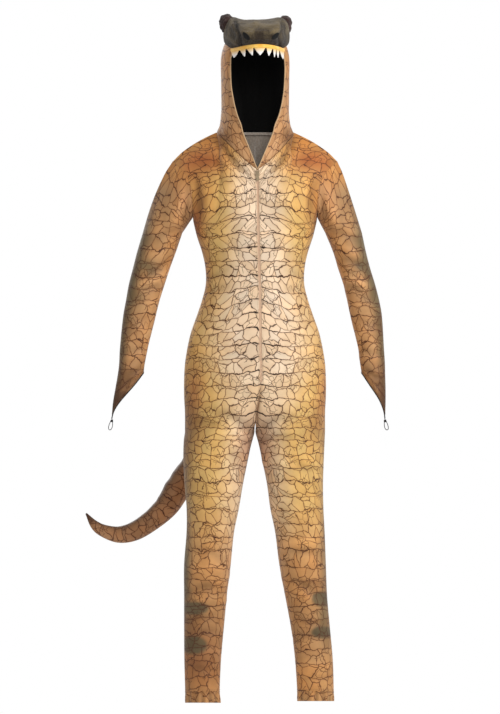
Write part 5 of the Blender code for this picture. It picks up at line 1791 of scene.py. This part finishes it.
# %% Sizes and rule of the tail
# The tail's middle line and radius, from its root at the seat to its tip
TAIL = Table(
    ("step", "x", "y", "z", "radius"),
    (0, 0, 126, -590, 58),
    (1, 0, 152, -596, 56),
    (2, -7, 186, -616, 53.5),
    (3, -27, 211, -656, 50.5),
    (4, -62, 222, -712, 47),
    (5, -108, 221, -772, 42.5),
    (6, -152, 214, -822, 37.5),
    (7, -189, 206, -867, 32.5),
    (8, -216, 200, -909, 29.5),
    (9, -252, 195, -943, 26),
    (10, -294, 190, -970, 24),
    (11, -333, 186, -979, 21),
    (12, -370, 183, -970, 16),
    (13, -393, 181, -955, 11.5),
    (14, -414, 180, -927, 2),
)
TAIL_STEPS = 14
TAIL_ROOT_GAP = 0.65


def tail_ring(step):
    """Middle, radius and axes of the tail at a step."""
    def centre(s):
        return Vector((TAIL.at("x", s), TAIL.at("y", s), TAIL.at("z", s)))

    along = (centre(step + 0.05) - centre(step - 0.05)).normalized()
    sideways = Vector((along.y, -along.x, 0)).normalized()
    return centre(step), TAIL.at("radius", step), sideways, sideways.cross(along)


def seat_point(x, z):
    """The point of the seat's outer face straight behind x."""
    middle, half, _, back = body_section(1, z)
    share = clamp((abs(x) - middle) / half, -1, 1)
    return Vector((x, back * math.sqrt(1 - share * share), z))


print("the tail is", round(2 * TAIL.at("radius", 0)), "mm thick at the seat")

# %% [markdown]
# ## Stuffed tail
# The tail is sewn from two long halves and stuffed, so it swells between its seams and the seams lie in
# a shallow groove. Each half is swept along the tail's line from the seat to the tip. Small cross folds
# pucker along the inside of the bend. The print's ground grows darker along the top, at the root and at
# the tip.

# %% Tail halves
TAIL_BROWN = tint(176, 130, 92)
TAIL_DARK = tint(84, 64, 44)
TAIL_TIP = tint(52, 36, 26)
TAIL_SEAM, TAIL_SEAM_REACH = 1.5, 0.045
TAIL_COLUMN, TAIL_ROW = 1 / 22, 0.07


def tail_point(side, u, step):
    """u runs over one half, from the lower seam to the upper one."""
    centre, radius, sideways, up = tail_ring(step)
    turn = math.pi * u - math.pi / 2
    pucker = math.exp(-((step - 5.0) / 3.2) ** 2) * max(0.0, math.sin(turn)) * 0.9
    pucker *= math.sin(step * 9.0) + 0.5 * math.sin(step * 14.3 + 1.0)
    near_seams = sum(math.exp(-(away / TAIL_SEAM_REACH) ** 2) for away in (u, 1 - u))
    swell = radius + pucker - TAIL_SEAM * near_seams
    return centre + sideways * side * swell * math.cos(turn) + up * swell * math.sin(turn)


def seated(side, u, step):
    """The tail's root follows the seat of the trousers, and its rings leave it within the first step."""
    place = tail_point(side, u, step)
    if step < 1:
        first, second = tail_point(side, u, 0), tail_point(side, u, 1)
        root = seat_point(first.x, first.z) + Vector((0, TAIL_ROOT_GAP, 0))
        off_line = place - first.lerp(second, step)
        place = root.lerp(second, step) + off_line * step
    return place


def make_tail_half(side, label):
    """One half of the tail, closed flat along its seams. It returns its face count."""
    us, steps = spaced(0, 1, TAIL_COLUMN), spaced(0, TAIL_STEPS, TAIL_ROW)
    grid = grid_of(lambda u, step: seated(side, u, step), us, steps)
    rows, columns = grid.shape[:2]
    flat = (grid[:, :1] * (1 - np.array(us))[None, :, None] + grid[:, -1:] * np.array(us)[None, :, None])
    along = np.array(steps)[:, None] / TAIL_STEPS
    top = smooth(0.55, 1.0, np.array(us))[None, :]
    ground = np.ones(grid.shape) * np.array(TAIL_BROWN)
    ground = laid(ground, top * 0.85 * np.ones(along.shape), TAIL_DARK)
    ground = laid(ground, 0.5 * smooth(0.30, 0.16, along) * np.ones(top.shape), TAIL_DARK)
    ground = laid(ground, 0.9 * smooth(0.90, 1.0, along) * np.ones(top.shape), TAIL_TIP)
    ground = light_print(ground)
    down = run_of(grid, 0).mean(axis=1, keepdims=True) * np.ones((rows, columns))
    uv = np.stack([run_of(grid, 1), down], axis=2)
    made = wall_mesh(f"tail_{label}_cloth", grid, flat, (print_cloth,), uv=uv, ground=ground)
    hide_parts(f"tail_{label}")
    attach(made, "garment")
    return len(made.data.polygons)


for side, label in SIDES:
    print("tail half", label, make_tail_half(side, label), "faces")

# %% [markdown]
# ## Things that repeat along a line
# Zip teeth and stitches repeat along a line, so Geometry Nodes make them: the line is resampled to an
# even pitch, a small shape is set on every point and turned along the line, and every second one can be
# moved aside. The tree ends in real geometry with its material, and the result becomes a plain mesh.

# %% A Geometry Nodes tree that sets shapes along a line
def along_line_tree():
    """The tree: resample a line, set a ball on each point, stretch it and make it real."""
    tree = bpy.data.node_groups.new("along_line", "GeometryNodeTree")
    tree.interface.new_socket("Geometry", in_out="INPUT", socket_type="NodeSocketGeometry")
    for name in ("Pitch", "Aside"):
        tree.interface.new_socket(name, in_out="INPUT", socket_type="NodeSocketFloat")
    tree.interface.new_socket("Size", in_out="INPUT", socket_type="NodeSocketVector")
    tree.interface.new_socket("Material", in_out="INPUT", socket_type="NodeSocketMaterial")
    tree.interface.new_socket("Geometry", in_out="OUTPUT", socket_type="NodeSocketGeometry")

    def add(kind, inputs=(), **settings):
        return add_node(tree, kind, inputs, **settings).outputs

    given = add("NodeGroupInput")
    line = add("GeometryNodeResampleCurve",
               {"Curve": given["Geometry"], "Length": given["Pitch"]}, mode="LENGTH")["Curve"]
    points = add("GeometryNodeCurveToPoints", {"Curve": line}, mode="EVALUATED")
    index = add("GeometryNodeInputIndex")[0]
    parity = add("ShaderNodeMath", {0: index, 1: 2.0}, operation="MODULO")[0]
    centred = add("ShaderNodeMath", {0: parity, 1: 0.5}, operation="SUBTRACT")[0]
    moved = add("ShaderNodeMath", {0: centred, 1: given["Aside"]}, operation="MULTIPLY")[0]
    offset = add("ShaderNodeCombineXYZ", {"X": moved})[0]
    shifted = add("GeometryNodeSetPosition", {"Geometry": points["Points"], "Offset": offset})["Geometry"]
    ball = add("GeometryNodeMeshUVSphere", {"Segments": 6, "Rings": 4, "Radius": 0.5})["Mesh"]
    shape = add("GeometryNodeTransform", {"Geometry": ball, "Scale": given["Size"]})["Geometry"]
    copies = add("GeometryNodeInstanceOnPoints",
                 {"Points": shifted, "Instance": shape, "Rotation": points["Rotation"]})["Instances"]
    real = add("GeometryNodeRealizeInstances", {"Geometry": copies})["Geometry"]
    finish = add("GeometryNodeSetMaterial", {"Geometry": real, "Material": given["Material"]})["Geometry"]
    add("NodeGroupOutput", {"Geometry": finish})
    return tree


ALONG_LINE = along_line_tree()


def set_along(name, lines, pitch, size, material, aside=0.0, body="garment"):
    """Shapes of that size (across, outwards, along) set along lines of points, in millimetres."""
    curve = bpy.data.curves.new(name, "CURVE")
    curve.dimensions = "3D"
    for line in lines:
        spline = curve.splines.new("POLY")
        spline.points.add(len(line) - 1)
        for knot, place in zip(spline.points, line):
            knot.co = (*(Vector(place) * MM), 1.0)
    guide = placed(name + "_guide", curve)
    step = guide.modifiers.new("Along", "NODES")
    step.node_group = ALONG_LINE
    values = {"Pitch": pitch * MM, "Aside": aside * MM, "Size": [s * MM for s in size], "Material": material}
    for item in ALONG_LINE.interface.items_tree:
        if item.in_out == "INPUT" and item.name in values:
            step[item.identifier] = values[item.name]
    evaluated = guide.evaluated_get(bpy.context.evaluated_depsgraph_get())
    mesh = bpy.data.meshes.new_from_object(evaluated)
    mesh.name = name
    mesh.shade_smooth()
    bpy.data.objects.remove(guide)
    made = placed(name, mesh)
    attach(made, body)
    return made


print("tree inputs:", [item.name for item in ALONG_LINE.interface.items_tree if item.in_out == "INPUT"])

# %% [markdown]
# ## Zip
# A fine coil zip closes the front. Its woven tapes lie behind the edges of the fronts, the coil's teeth
# alternate left and right down the middle, and the slider rests at the neck with its pull tab hanging.
# The slider and the tab keep their solids, in worn brass.

# %% Zip tapes, teeth and metal
recipe = Recipe("zip_tape", roughness=0.8, sheen=0.1)
weave = recipe.node("ShaderNodeTexWave", {"Vector": recipe.place(), "Scale": 380.0, "Distortion": 0.6},
                    bands_direction="Z").outputs["Fac"]
recipe.bump(weave, 0.5, 0.0003)
zip_weave = recipe.colour(recipe.blend(weave, tint(244, 212, 182, 1.1), tint(222, 188, 156, 1.1)))
recipe = Recipe("zip_teeth", roughness=0.45)
wear = recipe.noise(recipe.place(), 300.0, 2.0).outputs["Fac"]
zip_coil = recipe.colour(recipe.blend(wear, tint(246, 212, 180, 1.1), tint(222, 184, 150, 1.1)))
recipe = Recipe("worn_brass", roughness=0.35, metallic=1.0)
wear = recipe.ramp(recipe.noise(recipe.place(), 900.0, 4.0, 0.7).outputs["Fac"], 0.4, 0.65)
recipe.put(recipe.shader.inputs["Roughness"], recipe.ramp(wear, 0.0, 1.0, 0.28, 0.5))
recipe.bump(wear, 0.2, 0.0001)
worn_brass = recipe.colour(recipe.blend(wear, (0.40, 0.31, 0.20), (0.22, 0.16, 0.10)))
TOOTH_PITCH = 1.9
COIL_SIZE, COIL_ASIDE, COIL_FORWARD = (3.6, 1.5, 1.5), 1.8, 1.0


def middle_line(step):
    """The line of the centre front from the end of the zip up to the neck."""
    return [panel_point(1, "front", 0, level) for level in spaced(ZIP_BOTTOM, NECK_FRONT - 3.0, step)]


def make_tape(side, label):
    """One woven tape, behind the edge of its front."""
    levels = spaced(ZIP_BOTTOM, NECK_FRONT, 4.0)
    rows = []
    for level in levels:
        start = panel_point(side, "front", 0, level)
        across = (panel_point(side, "front", 1 / 8, level) - start).normalized()
        rows.append([tuple(start + across * w) for w in spaced(SEAM_GAP / 2, TAPE_WIDTH, 1.5)])
    grid = np.array(rows)
    grid[-1, :, 2] -= 2.0
    normal = np.zeros(grid.shape)
    normal[..., 1] = -1.0
    outer = grid - normal * (WALL + TAPE_GAP)
    made = wall_mesh(f"zip_tape_{label}_woven", outer, outer - normal * TAPE_WALL, (zip_weave,))
    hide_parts(f"zip_tape_{label}")
    as_sheet(made, outer)


for side, label in SIDES:
    make_tape(side, label)
coil_line = [p + Vector((0, WALL + TAPE_GAP - COIL_FORWARD, 0)) for p in middle_line(4.0)]
coil = set_along("zip_coil", [coil_line], TOOTH_PITCH, COIL_SIZE, zip_coil, aside=COIL_ASIDE)
for node in ("zip_slider", "zip_pull"):
    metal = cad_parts[node]
    metal.data.materials.clear()
    metal.data.materials.append(worn_brass)
print("zip teeth:", len(coil.data.polygons) // 24)

# %% [markdown]
# ## Stitching
# Seams are sewn with thread that shows as small dashes. Every run follows a line worked out from the same
# rules as the cloth: beside the zip, above each hem, round the cuffs and along the face edge.

# %% Stitch runs
recipe = Recipe("thread", roughness=0.6, sheen=0.3)
twist = recipe.noise(recipe.place(), 1500.0, 1.0).outputs["Fac"]
tan_thread = recipe.colour(recipe.blend(twist, tint(176, 132, 84), tint(136, 96, 58)))
STITCH_PITCH = 3.0
STITCH = (0.55, 0.5, 2.1)
LIFT = 0.3
BESIDE_ZIP, ABOVE_HEM, ABOVE_CUFF = 2.6, 3.0, (0.93, 0.95)


def lifted(point, us, rows, outward, ring=False):
    """A grid of a rule, moved out so that thread lies on the cloth."""
    grid = grid_of(point, us, rows)
    return grid + normals_of(grid, outward, ring) * LIFT


stitch_lines = []
for side, label in SIDES:
    beside = []
    for level in spaced(ZIP_BOTTOM, NECK_FRONT - 4, 6.0):
        start = panel_point(side, "front", 0, level)
        across = (panel_point(side, "front", 1 / 8, level) - start).normalized()
        beside.append(start + across * (ZIP_HALF_OPENING + BESIDE_ZIP) + Vector((0, -LIFT, 0)))
    stitch_lines.append(beside)
    us = spaced(0, 1, 1 / 60)
    line = [body_point(side, 360 * u, ANKLE_SEAM + ABOVE_HEM) for u in us]
    centre = sum(line, Vector()) / len(line)
    stitch_lines.append([p + (p - centre).normalized() * LIFT for p in line])
    above_edge = [WRIST_ROW + row for row in ABOVE_CUFF]
    cuff = lifted(lambda u, row: sleeve_point(side, u, row), us, above_edge, side, True)
    stitch_lines.append([Vector(p) for p in cuff[0]])
    edge = lifted(lambda u, row: hood_surface(side, u, row), (0.045, 0.05), spaced(0.3, 11.6, 0.15), side)
    stitch_lines.append([Vector(p) for p in edge[:, 0]])
stitches = set_along("seam_stitches", stitch_lines, STITCH_PITCH, STITCH, tan_thread)
print("stitches:", len(stitches.data.polygons) // 24)

# %% The CAD box
print("CAD box", [round(v, 3) for v in (*cad_low, *cad_high)])
